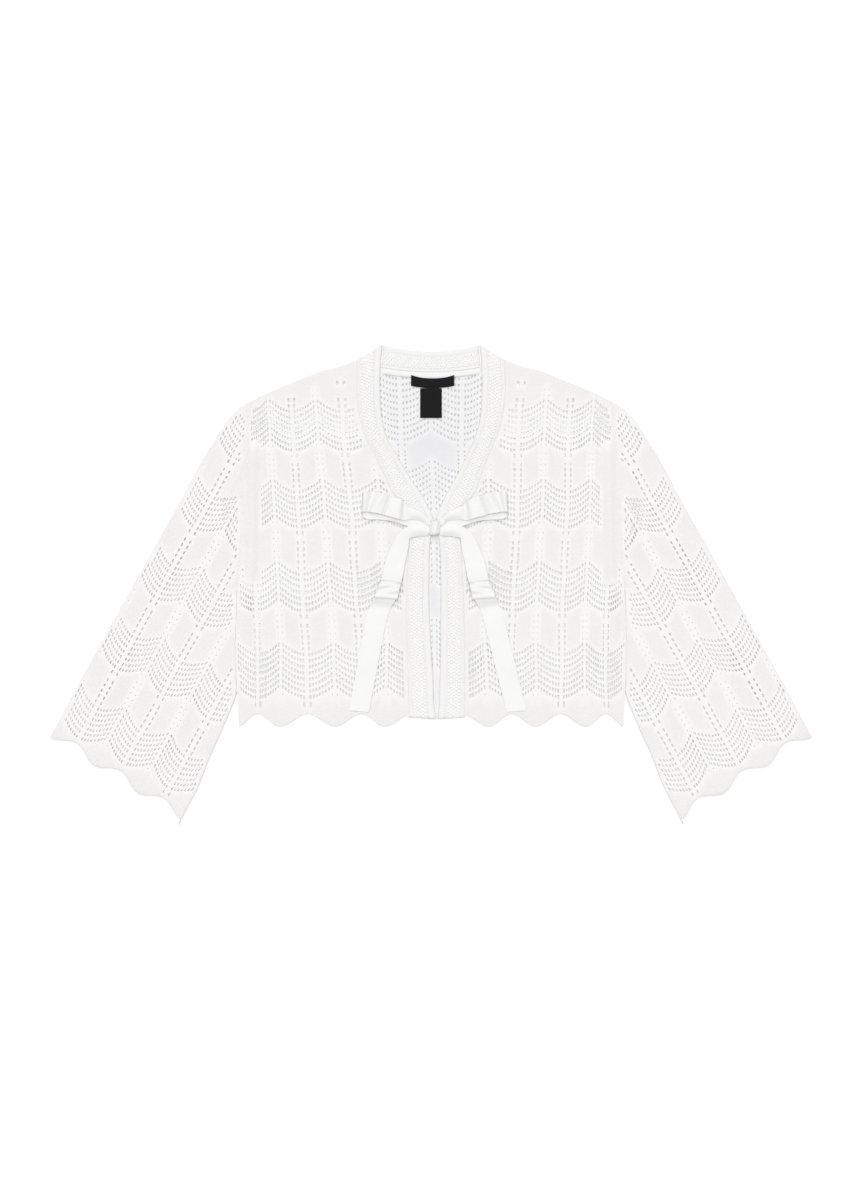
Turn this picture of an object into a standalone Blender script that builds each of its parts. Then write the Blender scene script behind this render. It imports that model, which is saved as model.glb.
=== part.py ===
"""Pointelle cardigan with a ribbon bow, laid flat on its back, in metres.

The neck points to +Y, the front faces +Z and the underside rests on z = 0. Every table is in
millimetres and describes the half at +X; the other half is its mirror. Below the neck the
opening sits a little to +X of the middle, so the bands and the bow follow centre_line().
"""

import math
from collections import namedtuple

import bmesh
import bpy
from mathutils import Vector
from mathutils.geometry import delaunay_2d_cdt

MM = 0.001

# Cloth
KNIT_WALL = 1.5
BAND_WALL = 2.4
RIBBON_WALL = 1.0
TRIM_WALL = 1.0
GAP = 0.3
FAN_RELIEF = 0.6
BACK_HEM_RISE = 9.0

# How finely lines are drawn, and how near its outline a panel may have a point of relief
SMOOTH_ANGLE = 40.0
HEM_STEPS = 4
CUFF_STEPS = 24
STRIP_STATIONS = 12
EDGE_MARGIN = 1.2

# Heights that the layers start at
FRONT_BASE = KNIT_WALL + GAP
TRIM_BASE = KNIT_WALL + GAP

# Outline of the body, from the side seam at the hem up to the side of the neck
Side = namedtuple("Side", "y x")
SIDE_SEAM = [
    Side(-178.0, 240.0),
    Side(-134.0, 242.5),
    Side(-69.0, 243.8),
    Side(-7.0, 242.0),
]
ARMHOLE = [
    Side(-7.0, 242.0),
    Side(56.0, 237.5),
    Side(131.0, 235.0),
    Side(181.0, 230.0),
    Side(229.4, 223.8),
]
Point = namedtuple("Point", "x y")
SHOULDER = [
    Point(223.8, 229.4),
    Point(213.8, 234.4),
    Point(188.8, 245.6),
    Point(163.8, 255.6),
    Point(138.8, 265.6),
    Point(113.8, 272.2),
    Point(92.5, 280.4),
    Point(61.0, 299.4),
]

# The opening drifts to +X below the neck
Drift = namedtuple("Drift", "y x")
CENTRE_DRIFT = [
    Drift(-178.0, 7.2),
    Drift(-120.0, 6.9),
    Drift(-30.0, 4.9),
    Drift(90.0, 4.6),
    Drift(180.0, 0.0),
]

# Front band, one row a station from the shoulder to the hem, measured from centre_line()
Station = namedtuple("Station", "outer_x outer_y inner_x inner_y")
BAND = [
    Station(92.5, 280.4, 61.0, 299.4),
    Station(92.5, 262.0, 63.5, 270.6),
    Station(92.5, 232.0, 63.5, 235.0),
    Station(86.5, 199.0, 61.0, 206.0),
    Station(80.0, 180.6, 54.0, 181.0),
    Station(69.0, 157.0, 44.0, 162.0),
    Station(60.5, 137.0, 34.0, 143.0),
    Station(52.5, 117.0, 23.0, 124.4),
    Station(42.5, 103.0, 13.0, 108.0),
    Station(36.0, 84.0, 3.2, 86.0),
    Station(32.5, 58.0, 3.8, 66.0),
    Station(33.0, 40.0, 6.5, 44.0),
    Station(36.0, -18.0, 7.4, -16.0),
    Station(36.0, -69.0, 6.2, -69.0),
    Station(35.5, -120.0, 4.2, -120.0),
    Station(34.5, -166.0, 3.2, -168.0),
]
# Height of the band's face across its width: smooth margins beside a textured middle
Profile = namedtuple("Profile", "across rise")
BAND_PROFILE = [
    Profile(0.0, -0.3),
    Profile(0.06, 0.0),
    Profile(0.13, -0.45),
    Profile(0.2, 0.05),
    Profile(0.45, 0.15),
    Profile(0.68, 0.05),
    Profile(0.74, -0.45),
    Profile(0.82, 0.25),
    Profile(0.95, 0.2),
    Profile(1.0, -0.4),
]
NECK_BAND_TOP = (59.0, 299.0, 290.8)
NECK_BAND_FOOT = (61.8, 271.0, 265.4)
NECK_BAND_STATIONS = 14
NECK_TAPE_WIDTH = 7.0
LABEL_HALF = 27.0
LABEL_HEIGHT = 12.0
NECK_TAPE_DROP = 1.0
NECK_TAPE_SHORTER = 4.0
TAG_WIDTH = 27.0
TAG_FOOT = 208.0
TAG_EDGE = 0.25

# Pointelle columns: x at three heights; even ones are peaks of a fan, odd ones its valleys
Column = namedtuple("Column", "upper lower hem")
COLUMN_HEIGHTS = (180.0, -70.0, -170.0)
COLUMNS = [
    Column(0.0, 0.0, 0.0),
    Column(38.0, 32.0, 31.0),
    Column(71.0, 61.0, 65.0),
    Column(109.0, 95.0, 94.0),
    Column(141.0, 126.0, 125.0),
    Column(172.0, 160.0, 158.0),
    Column(201.0, 189.0, 191.0),
    Column(226.0, 217.0, 218.0),
    Column(255.0, 243.0, 242.0),
]
# Plain fans between the lace: their edges at a peak and at a valley
Fan = namedtuple("Fan", "foot_peak foot_valley top_peak top_valley")
BODY_FANS = [
    Fan(-177.0, -161.5, -125.6, -156.0),
    Fan(-69.4, -51.9, -14.4, -40.6),
    Fan(33.1, 55.6, 84.4, 64.4),
    Fan(133.1, 151.9, 184.4, 160.6),
]
PEAK_ROUNDING = 0.35

# Sleeve: outer edge from the cuff to the shoulder, inner fold from the cuff to the body
SLEEVE_OUTER = [
    Point(475.6, -190.6),
    Point(463.8, -169.4),
    Point(438.8, -122.5),
    Point(413.8, -77.5),
    Point(388.8, -32.0),
    Point(363.8, 12.5),
    Point(338.8, 57.0),
    Point(313.8, 101.5),
    Point(288.8, 149.0),
    Point(276.2, 169.5),
    Point(263.8, 189.8),
    Point(251.2, 208.0),
    Point(238.8, 220.0),
    Point(224.3, 229.2),
]
SLEEVE_TIP = Point(315.0, -299.4)
SLEEVE_INNER = [
    Point(307.5, -284.4),
    Point(291.2, -253.1),
    Point(277.5, -218.1),
    Point(262.5, -184.4),
    Point(246.2, -145.6),
    Point(243.4, -136.0),
]
SLEEVE_AXIS = Vector((-0.483, 0.8756))
SLEEVE_ACROSS = Vector((-0.8756, -0.483))
SLEEVE_PERIOD = 64.6
SLEEVE_REPEAT = 100.0
SLEEVE_FANS = 4
SLEEVE_FAN_START = 6.0
SLEEVE_FAN_HALF = 25.0
SLEEVE_FAN_VALLEY = (0.75, 0.95)
CUFF_LEVEL = 5.5
CUFF_SLOPE = -0.06
CUFF_SCALLOP = 6.0
CUFF_WIDTH = 193.8
HOLLOW_OVERRUN = 6.0

# Soft folds: a crest from one end to the other, its height and its half width
Fold = namedtuple("Fold", "x0 y0 x1 y1 height half")
FRONT_FOLDS = [
    Fold(222.0, 182.0, 224.0, 40.0, 2.6, 11.0),
    Fold(224.0, 40.0, 229.0, -62.0, 2.0, 10.0),
]
SLEEVE_FOLDS = [
    Fold(252.0, 140.0, 257.0, 35.0, 2.4, 11.0),
    Fold(330.0, -215.0, 300.0, -130.0, 1.8, 17.0),
    Fold(405.0, -150.0, 372.0, -70.0, 1.4, 18.0),
]
FOLD_STATIONS = 5
FOLD_FADE = 0.25
FOLD_FLANKS = (-1.0, -0.5, 0.0, 0.5, 1.0)

# Ribbon bow, measured from the knot's centre, with +X away from it
KNOT_CENTRE = Point(5.0, 72.0)
KNOT_SIZE = (15.0, 21.0, 6.6)
KNOT_BASE = 5.0
KNOT_ROUNDING = 2.2
Strand = namedtuple("Strand", "out upper lower z pleat")
LOOP_FRONT = [
    Strand(8.0, 12.5, 6.0, 10.4, 0.0),
    Strand(14.0, 17.5, 10.0, 11.0, 0.2),
    Strand(31.0, 30.0, 19.5, 11.6, 0.5),
    Strand(43.8, 34.5, 17.0, 11.8, 0.8),
    Strand(52.5, 38.0, 9.8, 11.6, 0.9),
    Strand(65.0, 41.5, 12.5, 11.2, 1.0),
    Strand(81.0, 43.5, 17.5, 10.4, 1.1),
    Strand(89.0, 43.5, 20.0, 9.8, 0.9),
]
LOOP_TIP = [
    Strand(91.2, 43.4, 20.0, 9.4, 0.6),
    Strand(92.0, 43.0, 19.6, 8.5, 0.3),
    Strand(91.2, 42.6, 18.6, 7.6, 0.1),
]
LOOP_BACK = [
    Strand(89.0, 42.0, 16.5, 7.2, 0.0),
    Strand(72.0, 40.0, 11.0, 6.9, 0.0),
    Strand(50.0, 34.0, 6.0, 7.0, 0.0),
    Strand(30.0, 20.0, 0.5, 7.2, 0.0),
    Strand(16.0, 10.0, -1.0, 7.4, 0.0),
    Strand(8.0, 4.5, -1.5, 7.6, 0.0),
]
LOOP_ACROSS = 10
LOOP_PLEATS = 3.5
LOOP_CROWN = 0.6
Rung = namedtuple("Rung", "outer_out outer_y inner_out inner_y z")
TAIL = [
    Rung(8.0, 0.5, 8.0, -10.0, 5.7),
    Rung(18.0, 0.8, 17.0, -11.5, 5.7),
    Rung(31.0, 0.0, 27.0, -13.5, 5.6),
    Rung(42.5, -4.5, 31.5, -17.5, 5.6),
    Rung(49.5, -12.0, 33.0, -21.5, 5.5),
    Rung(54.5, -22.5, 34.0, -27.0, 5.4),
    Rung(61.5, -36.3, 37.5, -41.3, 5.3),
    Rung(65.0, -53.8, 40.0, -60.0, 5.7),
    Rung(67.5, -68.8, 43.8, -74.0, 6.9),
    Rung(71.0, -78.8, 46.3, -81.3, 8.6),
    Rung(74.0, -86.6, 47.6, -88.4, 9.0),
    Rung(75.0, -88.6, 47.8, -90.4, 8.6),
    Rung(75.2, -88.8, 47.9, -90.6, 7.7),
    Rung(74.6, -86.6, 48.2, -88.4, 7.1),
    Rung(73.8, -83.0, 48.8, -84.8, 6.7),
    Rung(73.6, -81.6, 49.0, -83.4, 6.1),
    Rung(74.0, -82.4, 49.4, -84.2, 5.4),
    Rung(76.6, -90.0, 51.4, -91.8, 4.9),
    Rung(82.0, -101.0, 57.0, -103.0, 4.7),
]
TAIL_STATIONS = 5
TAIL_FOOT = -229.0
TAIL_SPLAY = {"left": 24.0, "right": 31.0}
TAIL_WIDENING = 1.12
TAIL_END_SLANT = 2.0
TAIL_ACROSS = 5

# Finish of each kind of cloth: colour, roughness
Finish = namedtuple("Finish", "color roughness")
KNIT = Finish((0.86, 0.855, 0.84, 1.0), 0.9)
BAND_KNIT = Finish((0.88, 0.875, 0.86, 1.0), 0.9)
SATIN = Finish((0.9, 0.895, 0.88, 1.0), 0.35)
TAPE = Finish((0.85, 0.845, 0.835, 1.0), 0.8)
LABEL = Finish((0.015, 0.015, 0.017, 1.0), 0.7)


def clear_scene():
    """Remove every object that the file holds."""
    for item in list(bpy.data.objects):
        bpy.data.objects.remove(item)


def new_collection(name):
    """Make a collection under the scene."""
    collection = bpy.data.collections.new(name)
    bpy.context.scene.collection.children.link(collection)
    return collection


def new_material(name, finish):
    """Make a Principled material with a colour and a roughness."""
    material = bpy.data.materials.new(name)
    material.use_nodes = True
    material.diffuse_color = finish.color
    shader = material.node_tree.nodes["Principled BSDF"]
    shader.inputs["Base Color"].default_value = finish.color
    shader.inputs["Roughness"].default_value = finish.roughness
    shader.inputs["Metallic"].default_value = 0.0
    return material


def read_table(rows, y, field):
    """Read a field of a table between its rows, which are in rising order of y."""
    if y <= rows[0].y:
        return getattr(rows[0], field)
    for low, high in zip(rows, rows[1:]):
        if y <= high.y:
            share = (y - low.y) / (high.y - low.y)
            return getattr(low, field) * (1.0 - share) + getattr(high, field) * share
    return getattr(rows[-1], field)


def centre_line(y):
    """How far the opening lies to +X at a height."""
    return read_table(CENTRE_DRIFT, y, "x")


def placed(x, y, side):
    """A point of the half at +X on either side, with the drift fading out toward the side seam."""
    side_x = SIDE_SEAM[0].x
    fade = min(1.0, max(0.0, (side_x - x) / (side_x - BAND[0].outer_x - GAP)))
    return side * x + centre_line(y) * fade, y


def column_x(column, y):
    """Where a pointelle column, or a place between two, crosses a height."""
    index = min(int(column), len(COLUMNS) - 2)
    share = column - index
    upper, lower, hem = COLUMN_HEIGHTS

    def at(line):
        if y >= lower:
            part = (y - lower) / (upper - lower)
            return line.lower + (line.upper - line.lower) * part
        part = max(0.0, (y - hem) / (lower - hem))
        return line.hem + (line.lower - line.hem) * part

    return at(COLUMNS[index]) * (1.0 - share) + at(COLUMNS[index + 1]) * share


def valley_share(column):
    """0 on a peak, 1 in a valley, rounded over the peak."""
    phase = abs((column + 1.0) % 2.0 - 1.0)
    rounding = PEAK_ROUNDING
    reach = math.hypot(1.0, rounding) - rounding
    return (math.hypot(phase, rounding) - rounding) / reach


def on_side(folds, side):
    """The folds of one half."""
    return [fold._replace(x0=side * fold.x0, x1=side * fold.x1) for fold in folds]


def fold_height(folds, x, y):
    """Height that the folds give a point: a soft ridge that fades at both ends."""
    height = 0.0
    for fold in folds:
        start = Vector((fold.x0, fold.y0))
        run = Vector((fold.x1, fold.y1)) - start
        offset = Vector((x, y)) - start
        along = offset.dot(run) / run.length_squared
        apart = abs(offset.x * run.y - offset.y * run.x) / run.length
        from_end = min(along, 1.0 - along) + FOLD_FADE
        if apart < fold.half and from_end > 0.0:
            ends = min(1.0, from_end / (2.0 * FOLD_FADE))
            height += fold.height * ends * math.cos(apart / fold.half * math.pi / 2.0) ** 2
    return height


def fold_points(folds):
    """Points on the crest, the flanks and the feet of each fold."""
    points = []
    for fold in folds:
        start = Vector((fold.x0, fold.y0))
        run = Vector((fold.x1, fold.y1)) - start
        across = Vector((-run.y, run.x)).normalized() * fold.half
        for step in range(FOLD_STATIONS + 1):
            along = (1.0 + 2.0 * FOLD_FADE) * step / FOLD_STATIONS - FOLD_FADE
            points += [tuple(start + run * along + across * flank) for flank in FOLD_FLANKS]
    return points


def inside(outline, point, margin):
    """Whether a point lies in an outline and at least a margin from its edges."""
    x, y = point
    odd = False
    for (ax, ay), (bx, by) in zip(outline, outline[1:] + outline[:1]):
        if (ay > y) != (by > y) and x < ax + (y - ay) * (bx - ax) / (by - ay):
            odd = not odd
        run = Vector((bx - ax, by - ay))
        share = Vector((x - ax, y - ay)).dot(run) / max(run.length_squared, 1e-9)
        share = min(1.0, max(0.0, share))
        if math.hypot(x - ax - run.x * share, y - ay - run.y * share) < margin:
            return False
    return odd


def triangulated(outline, points):
    """Triangles of an outline and the points in it, as indices into both, counterclockwise."""
    flat = [Vector(point[:2]) for point in outline + points]
    count = len(outline)
    edges = [(index, (index + 1) % count) for index in range(count)]
    result = delaunay_2d_cdt(flat, edges, [], 1, 1e-6)
    source = [ids[0] for ids in result[3]]
    triangles = []
    for face in result[2]:
        a, b, c = (source[index] for index in face)
        turn = (flat[b] - flat[a]).cross(flat[c] - flat[a])
        triangles.append((a, b, c) if turn > 0 else (a, c, b))
    return triangles


def finish_object(name, mesh, material, collection):
    """Make an object of a mesh, with its material, shaded smooth but for sharp edges."""
    item = bpy.data.objects.new(name, mesh)
    collection.objects.link(item)
    mesh.materials.append(material)
    mesh.shade_smooth()
    mesh.set_sharp_from_angle(angle=math.radians(SMOOTH_ANGLE))
    return item


def mesh_from(name, points, faces):
    """Make a mesh from points in millimetres."""
    mesh = bpy.data.meshes.new(name)
    mesh.from_pydata([tuple(value * MM for value in point) for point in points], [], faces)
    mesh.update()
    return mesh


def slab(name, outline, upper, lower, z_low, z_high):
    """A closed wall over an outline, with points of relief in its upper and its lower face.

    upper holds (x, y, relief) and lower (x, y). z_low and z_high give each face's height.
    """
    upper = [point for point in upper if inside(outline, point[:2], EDGE_MARGIN)]
    lower = [point for point in lower if inside(outline, point[:2], EDGE_MARGIN)]
    count = len(outline)
    flat = [(x, y, 0.0) for x, y in outline]
    points = [(x, y, z_high(x, y) + rise) for x, y, rise in flat + upper]
    start = len(points)
    points += [(x, y, z_low(x, y)) for x, y in outline + lower]
    faces = triangulated(outline, upper)
    for a, b, c in triangulated(outline, lower):
        faces.append((start + a, start + c, start + b))
    for index in range(count):
        after = (index + 1) % count
        faces.append((index, start + index, start + after, after))
    return mesh_from(name, points, faces)


def lattice(name, rows):
    """A closed wall through rows of points, each (x, y, z_low, z_high)."""
    width = len(rows[0])
    points = [(x, y, high) for row in rows for x, y, low, high in row]
    start = len(points)
    points += [(x, y, low) for row in rows for x, y, low, high in row]
    faces = []
    for i in range(len(rows) - 1):
        for j in range(width - 1):
            a = i * width + j
            quad = (a, a + 1, a + 1 + width, a + width)
            faces.append(quad)
            faces.append(tuple(start + index for index in reversed(quad)))
    rim = [i * width for i in range(len(rows) - 1, 0, -1)]
    rim += list(range(width - 1))
    rim += [i * width + width - 1 for i in range(len(rows) - 1)]
    rim += [(len(rows) - 1) * width + j for j in range(width - 1, 0, -1)]
    for here, after in zip(rim, rim[1:] + rim[:1]):
        faces.append((here, start + here, start + after, after))
    mesh = mesh_from(name, points, faces)
    face_outward(mesh)
    return mesh


def face_outward(mesh):
    """Turn a closed mesh's faces to point out."""
    shape = bmesh.new()
    shape.from_mesh(mesh)
    bmesh.ops.recalc_face_normals(shape, faces=shape.faces)
    shape.to_mesh(mesh)
    shape.free()


def hem_line(first_column, rise):
    """Points of the scalloped hem from a column to the side seam."""
    fan = BODY_FANS[0]
    columns = len(COLUMNS) - 1 - first_column
    points = []
    for step in range(columns * HEM_STEPS):
        column = first_column + step / HEM_STEPS
        y = fan.foot_peak + (fan.foot_valley - fan.foot_peak) * valley_share(column) + rise
        points.append((column_x(column, y), y))
    return points + [(SIDE_SEAM[0].x, fan.foot_peak + rise)]


def fan_points(side):
    """Points of relief on the plain fans of one half: raised in the middle of each fan."""
    points = []
    last = (len(COLUMNS) - 1) * 2
    for fan in BODY_FANS:
        for half_step in range(last + 1):
            column = half_step / 2.0
            valley = valley_share(column)
            foot = fan.foot_peak + (fan.foot_valley - fan.foot_peak) * valley
            top = fan.top_peak + (fan.top_valley - fan.top_peak) * valley
            for share, rise in ((0.0, 0.0), (0.5, 1.0), (1.0, 0.0)):
                y = foot + (top - foot) * share
                x, y = placed(column_x(column, y), y, side)
                points.append((x, y, rise * FAN_RELIEF * (1.0 - valley)))
    return points


def body_edge():
    """Side seam, armhole and shoulder of the half at +X, from the hem to the neck."""
    edge = [(row.x, row.y) for row in SIDE_SEAM[1:]]
    edge += [(row.x, row.y) for row in ARMHOLE[1:]]
    edge += [(point.x, point.y) for point in SHOULDER[1:]]
    return edge


def make_back(material, collection):
    """The back panel, whose hem lies a little above the front's."""
    hem = hem_line(0, BACK_HEM_RISE)
    neck_x, neck_side, neck_middle = NECK_BAND_FOOT
    right = hem + body_edge()[:-1]
    top_x, top_y, _ = NECK_BAND_TOP
    right.append((top_x + GAP, top_y))
    right.append((neck_x + GAP, neck_side - GAP))
    right += [
        (neck_x * share, neck_middle + (neck_side - neck_middle) * share**2 - GAP)
        for share in (0.75, 0.5, 0.25)
    ]
    left = [(-x, y) for x, y in reversed(right)]
    middle = (0.0, neck_middle - GAP)
    outline = right + [middle] + left[:-1]
    mesh = slab("back", outline, [], [], lambda x, y: 0.0, lambda x, y: KNIT_WALL)
    return finish_object("back", mesh, material, collection)


def make_front(name, side, material, collection):
    """A front panel: hem, side, armhole, shoulder and the seam beside its band."""
    seam = [(row.outer_x + GAP, row.outer_y) for row in BAND[1:]]
    hem = [point for point in hem_line(1, 0.0) if point[0] > seam[-1][0] + EDGE_MARGIN]
    edge = body_edge()[:-2]
    edge.append((BAND[0].outer_x + GAP, BAND[0].outer_y))
    outline = [placed(x, y, side) for x, y in hem + edge + seam]
    if side < 0:
        outline.reverse()
    folds = on_side(FRONT_FOLDS, side)
    creases = fold_points(folds)
    relief = fan_points(side) + [(x, y, 0.0) for x, y in creases]
    mesh = slab(
        name,
        outline,
        relief,
        creases,
        lambda x, y: FRONT_BASE + fold_height(folds, x, y),
        lambda x, y: FRONT_BASE + KNIT_WALL + fold_height(folds, x, y),
    )
    return finish_object(name, mesh, material, collection)


def sleeve_point(across, along):
    """A point of the sleeve from its place across the cuff and along the arm."""
    return Vector(SLEEVE_OUTER[0]) + SLEEVE_ACROSS * across + SLEEVE_AXIS * along


def cuff_level(across):
    """How far up the arm the scalloped cuff lies."""
    wave = math.cos(2.0 * math.pi * across / SLEEVE_PERIOD)
    return CUFF_LEVEL + CUFF_SLOPE * across - CUFF_SCALLOP * wave


def sleeve_fan_points(side):
    """Points of relief on the plain fans of a sleeve's upper layer."""
    points = []
    foot_lift, top_drop = SLEEVE_FAN_VALLEY
    half_columns = round(4.0 * CUFF_WIDTH / SLEEVE_PERIOD)
    for index in range(SLEEVE_FANS):
        middle = SLEEVE_FAN_START + SLEEVE_REPEAT * index
        for half_step in range(half_columns + 1):
            column = half_step / 2.0
            valley = valley_share(column)
            foot = middle - SLEEVE_FAN_HALF * (1.0 - foot_lift * valley)
            top = middle + SLEEVE_FAN_HALF * (1.0 - top_drop * valley)
            for share, rise in ((0.0, 0.0), (0.5, 1.0), (1.0, 0.0)):
                place = sleeve_point(column * SLEEVE_PERIOD / 2.0, foot + (top - foot) * share)
                points.append((side * place.x, place.y, rise * FAN_RELIEF * (1.0 - valley)))
    return points


def inset(points, distance):
    """Points of an open line moved to its left."""
    moved = []
    for index, point in enumerate(points):
        before = Vector(points[max(index - 1, 0)])
        after = Vector(points[min(index + 1, len(points) - 1)])
        run = (after - before).normalized()
        moved.append(tuple(Vector(point) + Vector((-run.y, run.x)) * distance))
    return moved


def sleeve_lines():
    """Cuff, inner fold, armhole and outer edge of a sleeve, each in order round its outline."""
    cuff = []
    for step in range(1, CUFF_STEPS):
        across = CUFF_WIDTH * step / CUFF_STEPS
        cuff.append(tuple(sleeve_point(across, cuff_level(across))))
    beside_body = [(row.x + GAP, row.y) for row in SIDE_SEAM[2:-1]]
    inner = [tuple(SLEEVE_TIP)] + [tuple(point) for point in SLEEVE_INNER] + beside_body
    armhole = [(row.x + GAP, row.y) for row in ARMHOLE]
    outer = [tuple(point) for point in reversed(SLEEVE_OUTER)]
    return cuff, inner, armhole, outer


def hollow_outline(inner, armhole, outer):
    """Outline of a sleeve's hollow: a wall in from its two folds, and past its two ends."""
    past_cuff = SLEEVE_AXIS * -4.0 * HOLLOW_OVERRUN
    slot_outer = inset(outer, KNIT_WALL)
    slot_inner = inset(inner, KNIT_WALL)
    slot_outer[0] = (slot_outer[0][0] - HOLLOW_OVERRUN, slot_outer[0][1])
    ends = [tuple(Vector(slot_outer[-1]) + past_cuff), tuple(Vector(slot_inner[0]) + past_cuff)]
    corner = (armhole[0][0] + KNIT_WALL, armhole[0][1] - KNIT_WALL)
    past_armhole = [(x - HOLLOW_OVERRUN, y) for x, y in armhole]
    return slot_outer + ends + slot_inner + [corner] + past_armhole


def make_sleeve(name, side, material, collection, cutters):
    """A sleeve as a flattened tube: one solid, opened at the cuff and at the armhole."""
    cuff, inner, armhole, outer = sleeve_lines()
    outline = (cuff + inner + armhole[:-1] + outer)[::-1]
    slot = hollow_outline(inner, armhole, outer)
    folds = on_side(SLEEVE_FOLDS, side)
    creases = fold_points(folds)
    outline = [(side * x, y) for x, y in outline]
    slot = [(side * x, y) for x, y in slot]
    if side > 0:
        outline.reverse()
    else:
        slot.reverse()
    mesh = slab(
        name,
        outline,
        sleeve_fan_points(side) + [(x, y, 0.0) for x, y in creases],
        [],
        lambda x, y: 0.0,
        lambda x, y: 2.0 * KNIT_WALL + GAP + fold_height(folds, x, y),
    )
    face_outward(mesh)
    sleeve = finish_object(name, mesh, material, collection)
    hollow = slab(
        name + "_hollow",
        slot,
        [(x, y, 0.0) for x, y in creases],
        [],
        lambda x, y: KNIT_WALL,
        lambda x, y: KNIT_WALL + GAP + fold_height(folds, x, y),
    )
    face_outward(hollow)
    cutter = finish_object(name + "_hollow", hollow, material, cutters)
    cutter.hide_render = True
    cutter.display_type = "WIRE"
    cut = sleeve.modifiers.new("hollow", "BOOLEAN")
    cut.operation = "DIFFERENCE"
    cut.object = cutter
    return sleeve


def make_front_band(name, side, material, collection):
    """A front band from the side of the neck to the hem, a doubled knit with raised margins."""
    rows = []
    for station in BAND:
        row = []
        for place in BAND_PROFILE:
            x = station.outer_x + (station.inner_x - station.outer_x) * place.across
            y = station.outer_y + (station.inner_y - station.outer_y) * place.across
            x = side * x + centre_line(y)
            row.append((x, y, FRONT_BASE, FRONT_BASE + BAND_WALL + place.rise))
        rows.append(row)
    return finish_object(name, lattice(name, rows), material, collection)


def neck_curve(shape, share):
    """A point of the back neck at a share of its half width, from -1 to 1."""
    half, side_y, middle_y = shape
    return half * share, middle_y + (side_y - middle_y) * share**2


def make_neck_band(material, collection):
    """The band across the back of the neck, between the folds at its two sides."""
    rows = []
    for step in range(NECK_BAND_STATIONS + 1):
        share = 2.0 * step / NECK_BAND_STATIONS - 1.0
        foot = Vector(neck_curve(NECK_BAND_FOOT, share))
        top = Vector(neck_curve(NECK_BAND_TOP, share))
        row = []
        for place in BAND_PROFILE:
            point = foot.lerp(top, place.across)
            row.append((point.x, point.y, 0.0, BAND_WALL + place.rise))
        rows.append(row)
    return finish_object("band_neck", lattice("band_neck", rows), material, collection)


def neck_strip(name, half, top_drop, foot_drop, material, collection):
    """A flat strip that follows the back neck, between two distances below its seam."""
    rows = []
    for step in range(STRIP_STATIONS + 1):
        x = half * (2.0 * step / STRIP_STATIONS - 1.0)
        _, y = neck_curve(NECK_BAND_FOOT, x / NECK_BAND_FOOT[0])
        row = [
            (x, y - foot_drop, TRIM_BASE, TRIM_BASE + TRIM_WALL),
            (x, y - top_drop, TRIM_BASE, TRIM_BASE + TRIM_WALL),
        ]
        rows.append(row)
    return finish_object(name, lattice(name, rows), material, collection)


def rounded_block(name, size, centre, rounding, segments, material, collection):
    """A block with its edges rounded, from its size and its centre in millimetres."""
    bpy.ops.mesh.primitive_cube_add(size=1.0)
    block = bpy.context.object
    block.name = name
    block.data.name = name
    block.scale = [value * MM for value in size]
    block.location = [value * MM for value in centre]
    bpy.ops.object.transform_apply(location=False, rotation=False, scale=True)
    block.data.materials.append(material)
    edge = block.modifiers.new("rounding", "BEVEL")
    edge.width = rounding * MM
    edge.segments = segments
    for holder in list(block.users_collection):
        holder.objects.unlink(block)
    collection.objects.link(block)
    return block


def make_size_tab(label_foot, material, collection):
    """The blank tab that hangs under the neck label."""
    _, _, neck_middle = NECK_BAND_FOOT
    height = neck_middle - label_foot - 2.0 * GAP - TAG_FOOT
    size = (TAG_WIDTH, height, TRIM_WALL)
    centre = (0.0, TAG_FOOT + height / 2.0, TRIM_BASE + TRIM_WALL / 2.0)
    return rounded_block("size_tab", size, centre, TAG_EDGE, 1, material, collection)


def ribbon_shell(name, rows, material, collection):
    """A ribbon through rows of points in millimetres, given its thickness by Solidify."""
    width = len(rows[0])
    points = [point for row in rows for point in row]
    faces = []
    for i in range(len(rows) - 1):
        for j in range(width - 1):
            a = i * width + j
            faces.append((a, a + 1, a + 1 + width, a + width))
    ribbon = finish_object(name, mesh_from(name, points, faces), material, collection)
    wall = ribbon.modifiers.new("wall", "SOLIDIFY")
    wall.thickness = RIBBON_WALL * MM
    wall.offset = 0.0
    return ribbon


def make_loop(name, side, material, collection):
    """A loop of the bow: out over the front, round its tip and back beneath."""
    rows = []
    for strand in LOOP_FRONT + LOOP_TIP + LOOP_BACK:
        row = []
        for step in range(LOOP_ACROSS + 1):
            share = step / LOOP_ACROSS
            y = strand.lower + (strand.upper - strand.lower) * share
            pleat = strand.pleat * math.sin(LOOP_PLEATS * 2.0 * math.pi * share) * 0.5
            crown = LOOP_CROWN * math.sin(math.pi * share) if strand in LOOP_FRONT else 0.0
            x = KNOT_CENTRE.x + side * strand.out
            row.append((x, KNOT_CENTRE.y + y, strand.z + pleat + crown))
        rows.append(row)
    return ribbon_shell(name, rows, material, collection)


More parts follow.
